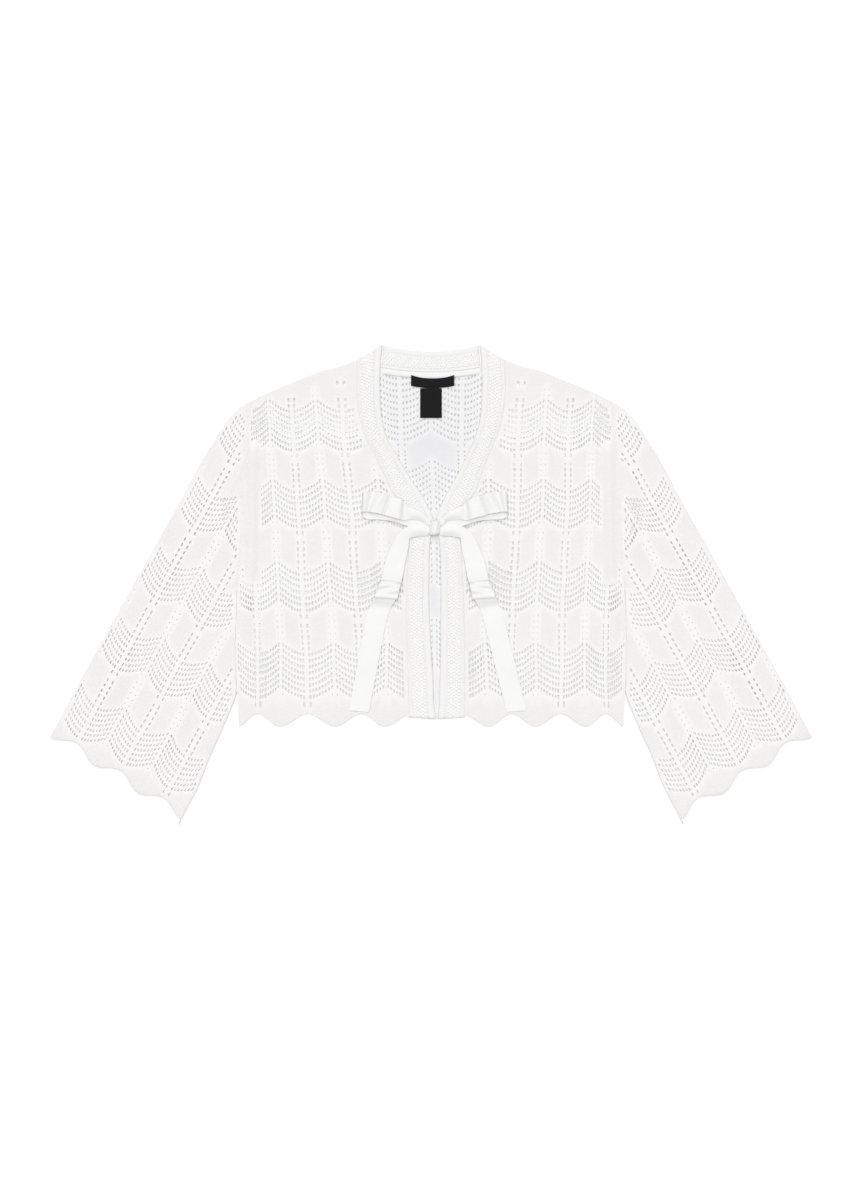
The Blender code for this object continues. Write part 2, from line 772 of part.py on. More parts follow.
def make_tail(word, side, material, collection):
    """A tail of the ribbon: down from the knot, over a crumpled fold and straight to the hem."""
    rungs = list(TAIL)
    last = TAIL[-1]
    for step in range(1, TAIL_STATIONS + 1):
        share = step / TAIL_STATIONS
        drop = (TAIL_FOOT - last.outer_y) * share
        move = TAIL_SPLAY[word] * share
        rung = last._replace(
            outer_out=last.outer_out + move,
            outer_y=last.outer_y + drop,
            inner_out=last.inner_out + move * TAIL_WIDENING,
            inner_y=last.inner_y + drop + TAIL_END_SLANT * share,
        )
        rungs.append(rung)
    rows = []
    for rung in rungs:
        row = []
        for step in range(TAIL_ACROSS + 1):
            share = step / TAIL_ACROSS
            out = rung.outer_out + (rung.inner_out - rung.outer_out) * share
            y = rung.outer_y + (rung.inner_y - rung.outer_y) * share
            row.append((KNOT_CENTRE.x + side * out, KNOT_CENTRE.y + y, rung.z))
        rows.append(row)
    return ribbon_shell("ribbon_tail_" + word, rows, material, collection)


def make_knot(material, collection):
    """The knot of the bow, a soft block."""
    centre = (KNOT_CENTRE.x, KNOT_CENTRE.y, KNOT_BASE + KNOT_SIZE[2] / 2.0)
    return rounded_block("bow_knot", KNOT_SIZE, centre, KNOT_ROUNDING, 3, material, collection)


def build():
    """Make every piece of the cardigan."""
    clear_scene()
    parts = new_collection("pointelle_cardigan")
    cutters = new_collection("cutters")
    knit = new_material("knit", KNIT)
    band_knit = new_material("band_knit", BAND_KNIT)
    satin = new_material("satin_ribbon", SATIN)
    tape = new_material("neck_tape", TAPE)
    label = new_material("label", LABEL)
    make_back(knit, parts)
    make_neck_band(band_knit, parts)
    tape_half = NECK_BAND_FOOT[0] - NECK_TAPE_SHORTER
    tape_foot = NECK_TAPE_DROP + NECK_TAPE_WIDTH
    neck_strip("neck_tape", tape_half, NECK_TAPE_DROP, tape_foot, tape, parts)
    label_foot = tape_foot + GAP + LABEL_HEIGHT
    neck_strip("neck_label", LABEL_HALF, tape_foot + GAP, label_foot, label, parts)
    make_size_tab(label_foot, label, parts)
    for word, side in (("right", 1.0), ("left", -1.0)):
        make_front("front_" + word, side, knit, parts)
        make_sleeve("sleeve_" + word, side, knit, parts, cutters)
        make_front_band("band_" + word, side, band_knit, parts)
        make_loop("bow_loop_" + word, side, satin, parts)
        make_tail(word, side, satin, parts)
    make_knot(satin, parts)


build()
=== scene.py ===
"""Looks of a pointelle cardigan with a ribbon bow, laid flat on its back.

Tables are in millimetres and describe the half at +X; the other half is its mirror. Meshes are
made in metres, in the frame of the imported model: +X to the right of the picture, +Y toward the
neck and +Z up out of the front, with the surface it lies on at z = 0.
"""

from __future__ import annotations

import logging
import math
from dataclasses import dataclass, replace
from enum import Enum
from typing import Callable, NamedTuple, Sequence

import bpy
import numpy as np
from bpy.types import Material, Mesh, Node, NodeOutputs, NodeSocket, NodeTree, Object
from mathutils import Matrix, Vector, noise
from mathutils.geometry import delaunay_2d_cdt
from numpy import ndarray

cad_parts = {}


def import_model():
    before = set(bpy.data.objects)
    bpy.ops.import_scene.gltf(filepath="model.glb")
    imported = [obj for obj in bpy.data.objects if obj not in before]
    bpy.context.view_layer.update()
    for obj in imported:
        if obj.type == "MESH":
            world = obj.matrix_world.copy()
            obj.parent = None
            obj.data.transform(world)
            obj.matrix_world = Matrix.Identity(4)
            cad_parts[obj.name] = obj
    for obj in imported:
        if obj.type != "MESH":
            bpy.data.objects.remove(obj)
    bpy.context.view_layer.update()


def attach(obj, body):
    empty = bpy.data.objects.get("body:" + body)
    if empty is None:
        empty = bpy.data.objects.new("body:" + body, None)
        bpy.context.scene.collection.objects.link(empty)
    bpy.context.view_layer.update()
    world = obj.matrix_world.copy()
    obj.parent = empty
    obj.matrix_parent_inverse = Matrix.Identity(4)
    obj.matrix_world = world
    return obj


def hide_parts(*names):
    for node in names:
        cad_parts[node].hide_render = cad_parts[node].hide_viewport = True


LOG = logging.getLogger("cardigan")
MM = 0.001
BODY = "root"
OPENING = "opening"
CORNER = "corner"
LACE = "lace"
ALONG = "along"
UPWARD = "upward"
KNIT_MAP = "knit"
SHARP = math.radians(52.0)

Pair = tuple[float, float]
Triple = tuple[float, float, float]
Colour = Triple
Gapes = tuple[tuple[float, float, float, float, float], ...]
Sheet = tuple[ndarray, list[list[int]], ndarray, ndarray]
Pieces = dict[str, Object]
SIDES = (("left", -1.0), ("right", 1.0))


class Place(NamedTuple):
    """A point of the flat pattern."""

    x: float
    y: float


class RowKind(Enum):
    """What a course of cells holds."""

    PLAIN = "plain"
    SPINE = "spine"
    NET = "net"


class StrandKind(Enum):
    """What a lengthwise strip of cells holds."""

    WALE = "wale"
    PEAK = "peak"
    NET = "net"
    SPINE = "spine"


def smooth_line(points: Sequence[Sequence[float]], step: float) -> ndarray:
    """Draw a smooth curve through points.

    Args:
        points: The places that the curve passes through, of any dimension.
        step: The spacing of the new points, in the units of the places.

    Returns:
        The points of the curve, its two ends among them.
    """
    knots = np.array(points, float)
    padded = np.vstack([2 * knots[0] - knots[1], knots, 2 * knots[-1] - knots[-2]])
    drawn = []
    for a, b, c, d in zip(padded, padded[1:], padded[2:], padded[3:]):
        pieces = max(1, round(float(np.linalg.norm(c - b)) / step))
        for index in range(pieces):
            t = index / pieces
            drawn.append(
                0.5 * (2 * b + (c - a) * t + (2 * a - 5 * b + 4 * c - d) * t**2)
                + 0.5 * (3 * b - a - 3 * c + d) * t**3
            )
    return np.array(drawn + [knots[-1]])


def crossed(points: ndarray, a: ndarray, b: ndarray) -> ndarray:
    """Which points have the edge from a to b on their right."""
    if a[1] == b[1]:
        return np.zeros(len(points), bool)
    at = a[0] + (points[:, 1] - a[1]) * (b[0] - a[0]) / (b[1] - a[1])
    return ((a[1] > points[:, 1]) != (b[1] > points[:, 1])) & (points[:, 0] < at)


def clearance(points: ndarray, outline: ndarray) -> ndarray:
    """Measure how far points lie inside an outline.

    Args:
        points: An array of x and y.
        outline: The corners of a closed outline.

    Returns:
        The distance to the nearest edge for each point, negative outside.
    """
    best = np.full(len(points), np.inf)
    odd = np.zeros(len(points), bool)
    for a, b in zip(outline, np.roll(outline, -1, axis=0)):
        run = b - a
        share = np.clip(((points - a) @ run) / max(run @ run, 1e-9), 0, 1)
        best = np.minimum(best, np.linalg.norm(points - a - share[:, None] * run, axis=1))
        odd ^= crossed(points, a, b)
    return np.where(odd, best, -best)


def outward(outline: ndarray) -> ndarray:
    """Directions out of a counterclockwise outline, one unit long, for each of its corners."""
    run = np.roll(outline, -1, axis=0) - np.roll(outline, 1, axis=0)
    return np.column_stack([run[:, 1], -run[:, 0]]) / np.hypot(*run.T)[:, None]


def run_of(line: ndarray) -> ndarray:
    """How far along a line each of its points lies, from 0."""
    return np.concatenate([[0.0], np.cumsum(np.linalg.norm(np.diff(line, axis=0), axis=1))])


def point_at(where: ndarray | float, run: ndarray, line: ndarray) -> ndarray:
    """Places on a line, x and y, from how far along it they lie."""
    return np.stack([np.interp(where, run, line[:, k]) for k in range(2)], axis=-1)


def grid_quads(rows: int, width: int) -> ndarray:
    """The quads of a grid of points that are numbered row by row."""
    index = np.arange(rows * width).reshape(rows, width)
    quads = np.stack([index[:-1, :-1], index[1:, :-1], index[1:, 1:], index[:-1, 1:]], axis=-1)
    return quads.reshape(-1, 4)


def unevenness(x: float, y: float, size: float) -> float:
    """A smooth uneven value from -1 to 1, with swells of about the size given."""
    return noise.noise(Vector((x / size, y / size, 3.7)))


class NodeBench:
    """Adds and joins the nodes of one tree."""

    def __init__(self, tree: NodeTree) -> None:
        """Start on a tree."""
        self.tree = tree

    def add(
        self, kind: str, feeds: dict[str | int, object] | None = None, **settings: object
    ) -> Node:
        """Add a node.

        Args:
            kind: The node's type name.
            feeds: Values or sockets for its inputs, by name or number.
            **settings: Values of the node's own properties.

        Returns:
            The new node.
        """
        node = self.tree.nodes.new(kind)
        for name, value in settings.items():
            setattr(node, name, value)
        self.fill(node, feeds or {})
        return node

    def fill(self, node: Node, feeds: dict[str | int, object]) -> None:
        """Give inputs of a node their values, or join other sockets to them."""
        for key, value in feeds.items():
            if isinstance(value, NodeSocket):
                self.tree.links.new(value, node.inputs[key])
            else:
                node.inputs[key].default_value = value

    def math(self, operation: str, *values: object) -> NodeSocket:
        """What a Math node makes of numbers or sockets, in the order of its inputs."""
        feeds = dict(enumerate(values))
        return self.add("ShaderNodeMath", feeds, operation=operation).outputs[0]

    def vector(self, operation: str, *values: object) -> NodeSocket:
        """What a Vector Math node makes of vectors, as math() does of values."""
        feeds = dict(enumerate(values))
        return self.add("ShaderNodeVectorMath", feeds, operation=operation).outputs[0]

    def scaled(self, vector: object, factor: object) -> NodeSocket:
        """A vector made longer or shorter by a factor."""
        feeds = {0: vector, "Scale": factor}
        return self.add("ShaderNodeVectorMath", feeds, operation="SCALE").outputs[0]

    def named(self, name: str, data_type: str) -> NodeSocket:
        """Read a stored attribute of the geometry."""
        kind = "GeometryNodeInputNamedAttribute"
        return self.add(kind, {"Name": name}, data_type=data_type).outputs["Attribute"]


def new_group(
    name: str, kind: str, inputs: dict[str, str], outputs: dict[str, str]
) -> tuple[NodeBench, NodeOutputs, Node]:
    """Make a node group with its sockets.

    Args:
        name: The group's name.
        kind: The tree's type name.
        inputs: The type of each input, by the input's name.
        outputs: The type of each output, by the output's name.

    Returns:
        A bench on the group, what comes into it, by name, and its output node.
    """
    tree = bpy.data.node_groups.new(name, kind)
    for in_out, sockets in (("INPUT", inputs), ("OUTPUT", outputs)):
        for title, word in sockets.items():
            socket_type = "NodeSocket" + word
            tree.interface.new_socket(name=title, in_out=in_out, socket_type=socket_type)
    given = tree.nodes.new("NodeGroupInput").outputs
    return NodeBench(tree), given, tree.nodes.new("NodeGroupOutput")


class ShaderKit:
    """The shader node groups that several finishes share, each built once."""

    def __init__(self) -> None:
        """Build the groups."""
        self.loops = self._build_loops()
        self.cloud = self._build_cloud()
        self.weave = self._build_weave()

    @staticmethod
    def _build_loops() -> NodeTree:
        """Knit stitches: columns of small V shapes, from a flat map in metres.

        Returns:
            A group with Height and Groove, both from 0 to 1.
        """
        inputs = {"Vector": "Vector", "Wale": "Float", "Course": "Float"}
        outputs = {"Height": "Float", "Groove": "Float"}
        bench, given, leave = new_group("knit_loops", "ShaderNodeTree", inputs, outputs)
        flat = bench.add("ShaderNodeSeparateXYZ", {0: given["Vector"]}).outputs
        across = bench.math("DIVIDE", flat[0], given["Wale"])
        up = bench.math("DIVIDE", flat[1], given["Course"])
        from_middle = bench.math("ABSOLUTE", bench.math("SUBTRACT", bench.math("FRACT", across), 0.5))
        leg = bench.math("ADD", up, bench.math("MULTIPLY", from_middle, 1.3))
        wave = bench.math("SINE", bench.math("MULTIPLY", leg, math.tau))
        crown = bench.math("SINE", bench.math("MULTIPLY", from_middle, math.tau))
        high = bench.math("MULTIPLY_ADD", wave, 0.32, 0.68)
        height = bench.math("MULTIPLY", high, bench.math("MULTIPLY_ADD", crown, 0.6, 0.4))
        bench.fill(leave, {"Height": height, "Groove": bench.math("SUBTRACT", 1.0, height)})
        return bench.tree

    @staticmethod
    def _build_cloud() -> NodeTree:
        """Soft uneven value of handled cloth.

        Returns:
            A group with Value, about 0.5 on average.
        """
        inputs = {"Vector": "Vector", "Scale": "Float"}
        bench, given, leave = new_group("cloth_cloud", "ShaderNodeTree", inputs, {"Value": "Float"})
        feeds = {"Detail": 3.0, "Roughness": 0.55, **{name: given[name] for name in inputs}}
        texture = bench.add("ShaderNodeTexNoise", feeds, noise_dimensions="3D")
        bench.fill(leave, {"Value": texture.outputs[0]})
        return bench.tree

    @staticmethod
    def _build_weave() -> NodeTree:
        """Over-and-under weave, from a flat map in metres.

        Returns:
            A group with Height, from 0 to 1.
        """
        inputs = {"Vector": "Vector", "Warp": "Float", "Weft": "Float"}
        bench, given, leave = new_group("plain_weave", "ShaderNodeTree", inputs, {"Height": "Float"})
        flat = bench.add("ShaderNodeSeparateXYZ", {0: given["Vector"]}).outputs
        waves = []
        for way, spacing in zip(flat, ("Warp", "Weft")):
            turns = bench.math("DIVIDE", way, given[spacing])
            waves.append(bench.math("SINE", bench.math("MULTIPLY", turns, math.tau)))
        cross = bench.math("MULTIPLY", *waves)
        bench.fill(leave, {"Height": bench.math("MULTIPLY_ADD", cross, 0.5, 0.5)})
        return bench.tree


def principled(name: str) -> tuple[Material, NodeBench, NodeSocket]:
    """Make a material with a Principled shader.

    Args:
        name: The material's name.

    Returns:
        The material, a bench on its tree and the place on the knit map.
    """
    material = bpy.data.materials.new(name)
    material.use_nodes = True
    bench = NodeBench(material.node_tree)
    return material, bench, bench.add("ShaderNodeUVMap", uv_map=KNIT_MAP).outputs[0]


def shade(bench: NodeBench, feeds: dict[str | int, object]) -> None:
    """Give the Principled shader of a material its values, by input."""
    bench.fill(bench.tree.nodes["Principled BSDF"], feeds)


def grouped(bench: NodeBench, group: NodeTree, **values: object) -> NodeOutputs:
    """Place a node group in a material, with values or sockets for its inputs by name."""
    return bench.add("ShaderNodeGroup", values, node_tree=group).outputs


def mixed(bench: NodeBench, factor: object, first: object, second: object) -> NodeSocket:
    """Mix two colours.

    Args:
        bench: The bench on the material's tree.
        factor: A number or a socket, 0 for the first colour and 1 for the second.
        first: Red, green and blue, or a socket.
        second: Red, green and blue, or a socket.

    Returns:
        The mixed colour.
    """
    feeds = {"Factor": factor}
    for name, colour in (("A", first), ("B", second)):
        is_socket = isinstance(colour, NodeSocket)
        feeds[name] = colour if is_socket else (*colour, 1.0)
    return bench.add("ShaderNodeMix", feeds, data_type="RGBA").outputs["Result"]


def bumped(
    bench: NodeBench, height: object, strength: float, depth: float, **others: object
) -> NodeSocket:
    """The normal of a surface that a height raises.

    Args:
        bench: The bench on the material's tree.
        height: The height's socket.
        strength: The share of the bump.
        depth: The height of a whole unit, in millimetres.
        **others: Values or sockets for other inputs of the Bump node.

    Returns:
        The normal.
    """
    feeds = {"Strength": strength, "Distance": depth * MM, "Height": height, **others}
    return bench.add("ShaderNodeBump", feeds).outputs[0]


@dataclass(frozen=True)
class KnitFinish:
    """Soft matt knitted yarn, with painted light over the lace and painted shade in the grooves between
    its loops.
    """

    name: str
    colour: Colour
    shade: Colour
    # Painted light: the lighter colour mixed over the lace, for highlights on its strands and lighter
    # eyelets.
    painted_lace_light: Colour = (0.99, 0.985, 0.975)
    wale: float = 1.75
    course: float = 1.8
    relief: float = 0.35
    fuzz: float = 0.05
    # Share of painted shade in the grooves between the loops.
    groove: float = 0.55
    mottle: float = 0.55
    painted_light_share: float = 0.65
    noise_scales: Triple = (38.0, 420.0, 2600.0)

    def material(self, kit: ShaderKit) -> Material:
        """Make the finish's material.

        Args:
            kit: The shared node groups.

        Returns:
            A material that reads the knit map, the lace attribute and Object coordinates.
        """
        material, bench, flat = principled(self.name)
        place = bench.add("ShaderNodeTexCoord").outputs["Object"]
        loops = grouped(bench, kit.loops, Vector=flat, Wale=self.wale * MM, Course=self.course * MM)
        cloud, heather, fibres = (
            grouped(bench, kit.cloud, Vector=place, Scale=scale)["Value"]
            for scale in self.noise_scales
        )
        # Painted shade: the low grooves between the knit loops are mixed toward the darker colour, along
        # with the random tone.
        groove_shade = bench.math("MULTIPLY", loops["Groove"], self.groove)
        uneven = bench.math("MULTIPLY_ADD", cloud, 0.3, groove_shade)
        specks = bench.math("MULTIPLY_ADD", heather, 1.5, -0.5)
        tone = bench.math("MULTIPLY_ADD", specks, self.mottle, uneven)
        lace = bench.add("ShaderNodeAttribute", attribute_name=LACE).outputs["Fac"]
        knit = mixed(bench, tone, self.colour, self.shade)
        # Painted light: the lace is mixed toward the lighter colour.
        lifted = mixed(bench, bench.math("MULTIPLY", lace, self.painted_light_share), knit, self.painted_lace_light)
        stitches = bumped(bench, loops["Height"], 0.7, self.relief)
        shade(
            bench,
            {
                "Base Color": lifted,
                "Roughness": bench.math("MULTIPLY_ADD", fibres, 0.12, 0.84),
                "Sheen Weight": 0.2,
                "Sheen Roughness": 0.5,
                "Specular IOR Level": 0.25,
                "Normal": bumped(bench, fibres, 0.35, self.fuzz, Normal=stitches),
            },
        )
        return material


@dataclass(frozen=True)
class SatinFinish:
    """Smooth satin ribbon, with its fine weft across it."""

    name: str
    colour: Colour
    shade: Colour
    roughness: float = 0.46
    unevenness: float = 0.12

    def material(self, kit: ShaderKit) -> Material:
        """Make the finish's material.

        Args:
            kit: The shared node groups.

        Returns:
            A glossy cloth that reads the knit map, which runs along the ribbon.
        """
        material, bench, flat = principled(self.name)
        place = bench.add("ShaderNodeTexCoord").outputs["Object"]
        weave = grouped(bench, kit.weave, Vector=flat, Warp=0.5 * MM, Weft=0.9 * MM)
        cloud = grouped(bench, kit.cloud, Vector=place, Scale=60.0)["Value"]
        tone = bench.math("MULTIPLY", cloud, 0.5)
        smoothest = self.roughness - self.unevenness / 2.0
        shade(
            bench,
            {
                "Base Color": mixed(bench, tone, self.colour, self.shade),
                "Roughness": bench.math("MULTIPLY_ADD", cloud, self.unevenness, smoothest),
                "Specular IOR Level": 0.42,
                "Sheen Weight": 0.15,
                "Anisotropic": 0.4,
                "Normal": bumped(bench, weave["Height"], 0.25, 0.03),
            },
        )
        return material


@dataclass(frozen=True)
class WovenFinish:
    """Flat woven tape or label."""

    name: str
    colour: Colour
    shade: Colour
    thread: float = 0.8
    roughness: float = 0.75
    gloss: float = 0.3

    def material(self, kit: ShaderKit) -> Material:
        """Make the finish's material.

        Args:
            kit: The shared node groups.

        Returns:
            A woven cloth that reads the knit map.
        """
        material, bench, flat = principled(self.name)
        thread = self.thread * MM
        height = grouped(bench, kit.weave, Vector=flat, Warp=thread, Weft=thread)["Height"]
        shade(
            bench,
            {
                # Painted shade: the low threads of the weave get the darker colour.
                "Base Color": mixed(bench, height, self.shade, self.colour),
                "Roughness": bench.math("MULTIPLY_ADD", height, 0.1, self.roughness - 0.05),
                "Specular IOR Level": self.gloss,
                "Normal": bumped(bench, height, 0.5, 0.12),
            },
        )
        return material


class Palette:
    """Every finish of the cardigan, made once."""

    def __init__(self) -> None:
        """Make the materials."""
        kit = ShaderKit()
        outer = KnitFinish("pointelle_knit", (0.945, 0.94, 0.925), (0.85, 0.84, 0.825))
        # Painted shade: a darker copy of the knit for inner faces that other layers cover.
        painted_shade_knit = replace(
            outer, name="pointelle_painted_shade", colour=(0.862, 0.854, 0.86),
            shade=(0.775, 0.765, 0.775), painted_lace_light=(0.872, 0.862, 0.872),
        )
        # Painted shade: a darker, cooler copy of the knit for the back's inner face seen in the neck and
        # the opening.
        inner = replace(
            outer, name="pointelle_inside_painted_shade", colour=(0.91, 0.902, 0.915),
            shade=(0.81, 0.80, 0.815), painted_lace_light=(0.94, 0.935, 0.945),
        )
        band = replace(
            outer, name="band_knit", colour=(0.97, 0.965, 0.952), shade=(0.93, 0.925, 0.91),
            wale=1.6, course=1.3,
        )
        satin = SatinFinish("satin_ribbon", (0.875, 0.87, 0.865), (0.83, 0.825, 0.827))
        tape = WovenFinish("seam_tape", (0.92, 0.915, 0.905), (0.88, 0.875, 0.865))
        label = WovenFinish("label_cloth", (0.012, 0.012, 0.014), (0.004, 0.004, 0.005), gloss=0.15)
        self.painted_shade_knit = painted_shade_knit.material(kit)
        self.knit = outer.material(kit)
        self.inside = inner.material(kit)
        self.band = band.material(kit)
        self.yarn = replace(outer, name="yarn", relief=0.1).material(kit)
        self.satin = satin.material(kit)
        self.tape = tape.material(kit)
        self.label = label.material(kit)


def finish_tree(bench: NodeBench, geometry: NodeSocket, given: NodeOutputs, leave: Node) -> None:
    """End a Geometry Nodes tree: instances made real, and the material set."""
    real = bench.add("GeometryNodeRealizeInstances", {"Geometry": geometry}).outputs["Geometry"]
    feeds = {"Geometry": real, "Material": given["Material"]}
    bench.fill(leave, {"Geometry": bench.add("GeometryNodeSetMaterial", feeds).outputs["Geometry"]})


class Eyelets:
    """Cuts the eyelets of a panel with Geometry Nodes."""

    def __init__(self) -> None:
        """Build the tree once for every panel."""
        inputs = {
            "Geometry": "Geometry",
            "Corner Rounding": "Float",
            "Smallest Opening": "Float",
            "Rim Drop": "Float",
            "Material": "Material",
        }
        outputs = {"Geometry": "Geometry"}
        bench, given, leave = new_group("cut_eyelets", "GeometryNodeTree", inputs, outputs)
        self.tree = bench.tree
        position = bench.add("GeometryNodeInputPosition").outputs[0]
        facing = bench.add("GeometryNodeInputNormal").outputs[0]
        capture = bench.add("GeometryNodeCaptureAttribute", domain="FACE")
        capture.capture_items.new("VECTOR", "Middle")
        capture.capture_items.new("VECTOR", "Facing")
        bench.fill(capture, {"Geometry": given["Geometry"], 1: position, 2: facing})
        opening = bench.named(OPENING, "FLOAT")
        has_hole = bench.add(
            "FunctionNodeCompare",
            {"A": opening, "B": given["Smallest Opening"]},
            data_type="FLOAT",
            operation="GREATER_THAN",
        )
        extrude = bench.add(
            "GeometryNodeExtrudeMesh",
            {
                "Mesh": capture.outputs["Geometry"],
                "Selection": has_hole.outputs["Result"],
                "Offset Scale": 0.0,
                "Individual": True,
            },
            mode="FACES",
        )
        top = extrude.outputs["Top"]
        middle = capture.outputs[1]
        rounding = bench.math("MULTIPLY", bench.named(CORNER, "FLOAT"), given["Corner Rounding"])
        factor = bench.math("MULTIPLY", opening, bench.math("SUBTRACT", 1.0, rounding))
        offset = bench.scaled(bench.vector("SUBTRACT", position, middle), factor)
        sunk = bench.math("MULTIPLY", given["Rim Drop"], -1.0)
        shrink = bench.add(
            "GeometryNodeSetPosition",
            {
                "Geometry": extrude.outputs["Mesh"],
                "Selection": top,
                "Position": bench.vector("ADD", middle, offset),
                "Offset": bench.scaled(capture.outputs[2], sunk),
            },
        )
        feeds = {"Geometry": shrink.outputs["Geometry"], "Selection": top}
        cut = bench.add("GeometryNodeDeleteGeometry", feeds, domain="FACE")
        finish_tree(bench, cut.outputs["Geometry"], given, leave)

    def cut(self, item: Object, material: Material) -> None:
        """Put the tree on a panel whose faces hold the opening attribute."""
        sizes = {"Corner Rounding": 0.2, "Smallest Opening": 0.12, "Rim Drop": 0.35 * MM}
        run_tree(item, self.tree, {**sizes, "Material": material})


class Stitches:
    """Lays small yarn bumps on points with Geometry Nodes."""

    def __init__(self) -> None:
        """Build the tree once for every run of stitches."""
        inputs = {
            "Geometry": "Geometry",
            "Stitch Length": "Float",
            "Stitch Width": "Float",
            "Stitch Height": "Float",
            "Sides": "Int",
            "Rings": "Int",
            "Material": "Material",
        }
        outputs = {"Geometry": "Geometry"}
        bench, given, leave = new_group("lay_stitches", "GeometryNodeTree", inputs, outputs)
        self.tree = bench.tree
        feeds = {"Segments": given["Sides"], "Rings": given["Rings"], "Radius": 0.5}
        bead = bench.add("GeometryNodeMeshUVSphere", feeds).outputs["Mesh"]
        sizes = zip("XYZ", ("Stitch Height", "Stitch Width", "Stitch Length"))
        size = bench.add("ShaderNodeCombineXYZ", {axis: given[name] for axis, name in sizes})
        shaped = bench.add("GeometryNodeTransform", {"Geometry": bead, "Scale": size.outputs[0]})
        turn = bench.add(
            "FunctionNodeAxesToRotation",
            {
                "Primary Axis": bench.named(ALONG, "FLOAT_VECTOR"),
                "Secondary Axis": bench.named(UPWARD, "FLOAT_VECTOR"),
            },
            primary_axis="Z",
            secondary_axis="X",
        )
        lay = bench.add(
            "GeometryNodeInstanceOnPoints",
            {
                "Points": given["Geometry"],
                "Instance": shaped.outputs["Geometry"],
                "Rotation": turn.outputs["Rotation"],
            },
        )
        smooth = bench.add("GeometryNodeSetShadeSmooth", {"Geometry": lay.outputs["Instances"]})
        finish_tree(bench, smooth.outputs["Geometry"], given, leave)

    def lay(
        self, name: str, points: ndarray, along: ndarray, size: Triple, material: Material
    ) -> Object:
        """Lay one stitch on each point.

        Args:
            name: The new piece's name.
            points: Places in millimetres, x y z.
            along: The direction of each stitch.
            size: Length, width and height of a stitch in millimetres.
            material: The yarn.

        Returns:
            The piece, a plain mesh.
        """
        mesh = bpy.data.meshes.new(name)
        mesh.from_pydata((np.asarray(points, float) * MM).tolist(), [], [])
        store(mesh, ALONG, "FLOAT_VECTOR", "POINT", np.asarray(along, float))
        store(mesh, UPWARD, "FLOAT_VECTOR", "POINT", np.tile((0.0, 0.0, 1.0), (len(points), 1)))
        item = linked(name, mesh)
        names = ("Stitch Length", "Stitch Width", "Stitch Height")
        sizes = {title: value * MM for title, value in zip(names, size)}
        run_tree(item, self.tree, {**sizes, "Sides": 6, "Rings": 4, "Material": material})
        make_plain(item)
        flat_map(item.data, lambda x, y: (x, y))
        return item


def run_tree(item: Object, tree: NodeTree, values: dict[str, object]) -> None:
    """Put a Geometry Nodes tree on an object.

    Args:
        item: The object.
        tree: The tree.
        values: A value for each of its inputs but the geometry, by the input's name.
    """
    modifier = item.modifiers.new(tree.name, "NODES")
    modifier.node_group = tree
    for socket in tree.interface.items_tree:
        if socket.item_type == "SOCKET" and socket.in_out == "INPUT" and socket.name in values:
            modifier[socket.identifier] = values[socket.name]


def make_plain(item: Object) -> None:
    """Turn an object with modifiers into a plain mesh of what they give."""
    bpy.context.view_layer.update()
    evaluated = item.evaluated_get(bpy.context.evaluated_depsgraph_get())
    mesh = bpy.data.meshes.new_from_object(evaluated)
    mesh.name = item.name
    old = item.data
    item.modifiers.clear()
    item.data = mesh
    bpy.data.meshes.remove(old)


def store(mesh: Mesh, name: str, data_type: str, domain: str, values: ndarray) -> None:
    """Store an attribute on a mesh.

    Args:
        mesh: The mesh.
        name: The attribute's name.
        data_type: Its type, as Blender names it.
        domain: Where it lies, as Blender names it.
        values: One value, or one vector, for each element.
    """
    attribute = mesh.attributes.new(name, data_type, domain)
    key = "vector" if data_type == "FLOAT_VECTOR" else "value"
    attribute.data.foreach_set(key, np.asarray(values, np.float32).ravel())


def read(elements: object, name: str, width: int, kind: type = np.float32) -> ndarray:
    """What each element of a mesh holds under a name, as rows of a width."""
    values = np.empty(len(elements) * width, kind)
    elements.foreach_get(name, values)
    return values.reshape(-1, width)


def write_map(mesh: Mesh, u: ndarray, v: ndarray) -> None:
    """Give a mesh its flat map in metres, from two coordinates for each vertex."""
    corners = read(mesh.loops, "vertex_index", 1, np.int32)[:, 0]
    layer = mesh.uv_layers.get(KNIT_MAP) or mesh.uv_layers.new(name=KNIT_MAP)
    both = np.stack([u, v], axis=1)[corners]
    layer.data.foreach_set("uv", both.astype(np.float32).ravel())


def flat_map(mesh: Mesh, mapping: Callable[..., tuple]) -> None:
    """Give a mesh a flat map in metres from the places of its vertices.

    Args:
        mesh: The mesh.
        mapping: Takes arrays of x and y in metres and gives the map's two coordinates.
    """
    places = read(mesh.vertices, "co", 3)
    write_map(mesh, *mapping(places[:, 0], places[:, 1]))


def linked(name: str, data: object) -> Object:
    """Make an object of a mesh, a lamp or a camera in the scene."""
    item = bpy.data.objects.new(name, data)
    bpy.context.scene.collection.objects.link(item)
    return item


def solidified(item: Object, wall: float, offset: float = -1.0) -> None:
    """Give a piece's surface its thickness with Solidify.

    Args:
        item: The piece.
        wall: The thickness in millimetres.
        offset: -1 for a wall behind the surface, 0 for one on both sides of it.
    """
    modifier = item.modifiers.new("wall", "SOLIDIFY")
    modifier.thickness = wall * MM
    modifier.offset = offset
    modifier.use_rim = True


class Swell(NamedTuple):
    """A soft crest between two places: its height and its half width."""

    x0: float
    y0: float
    x1: float
    y1: float
    height: float
    half: float


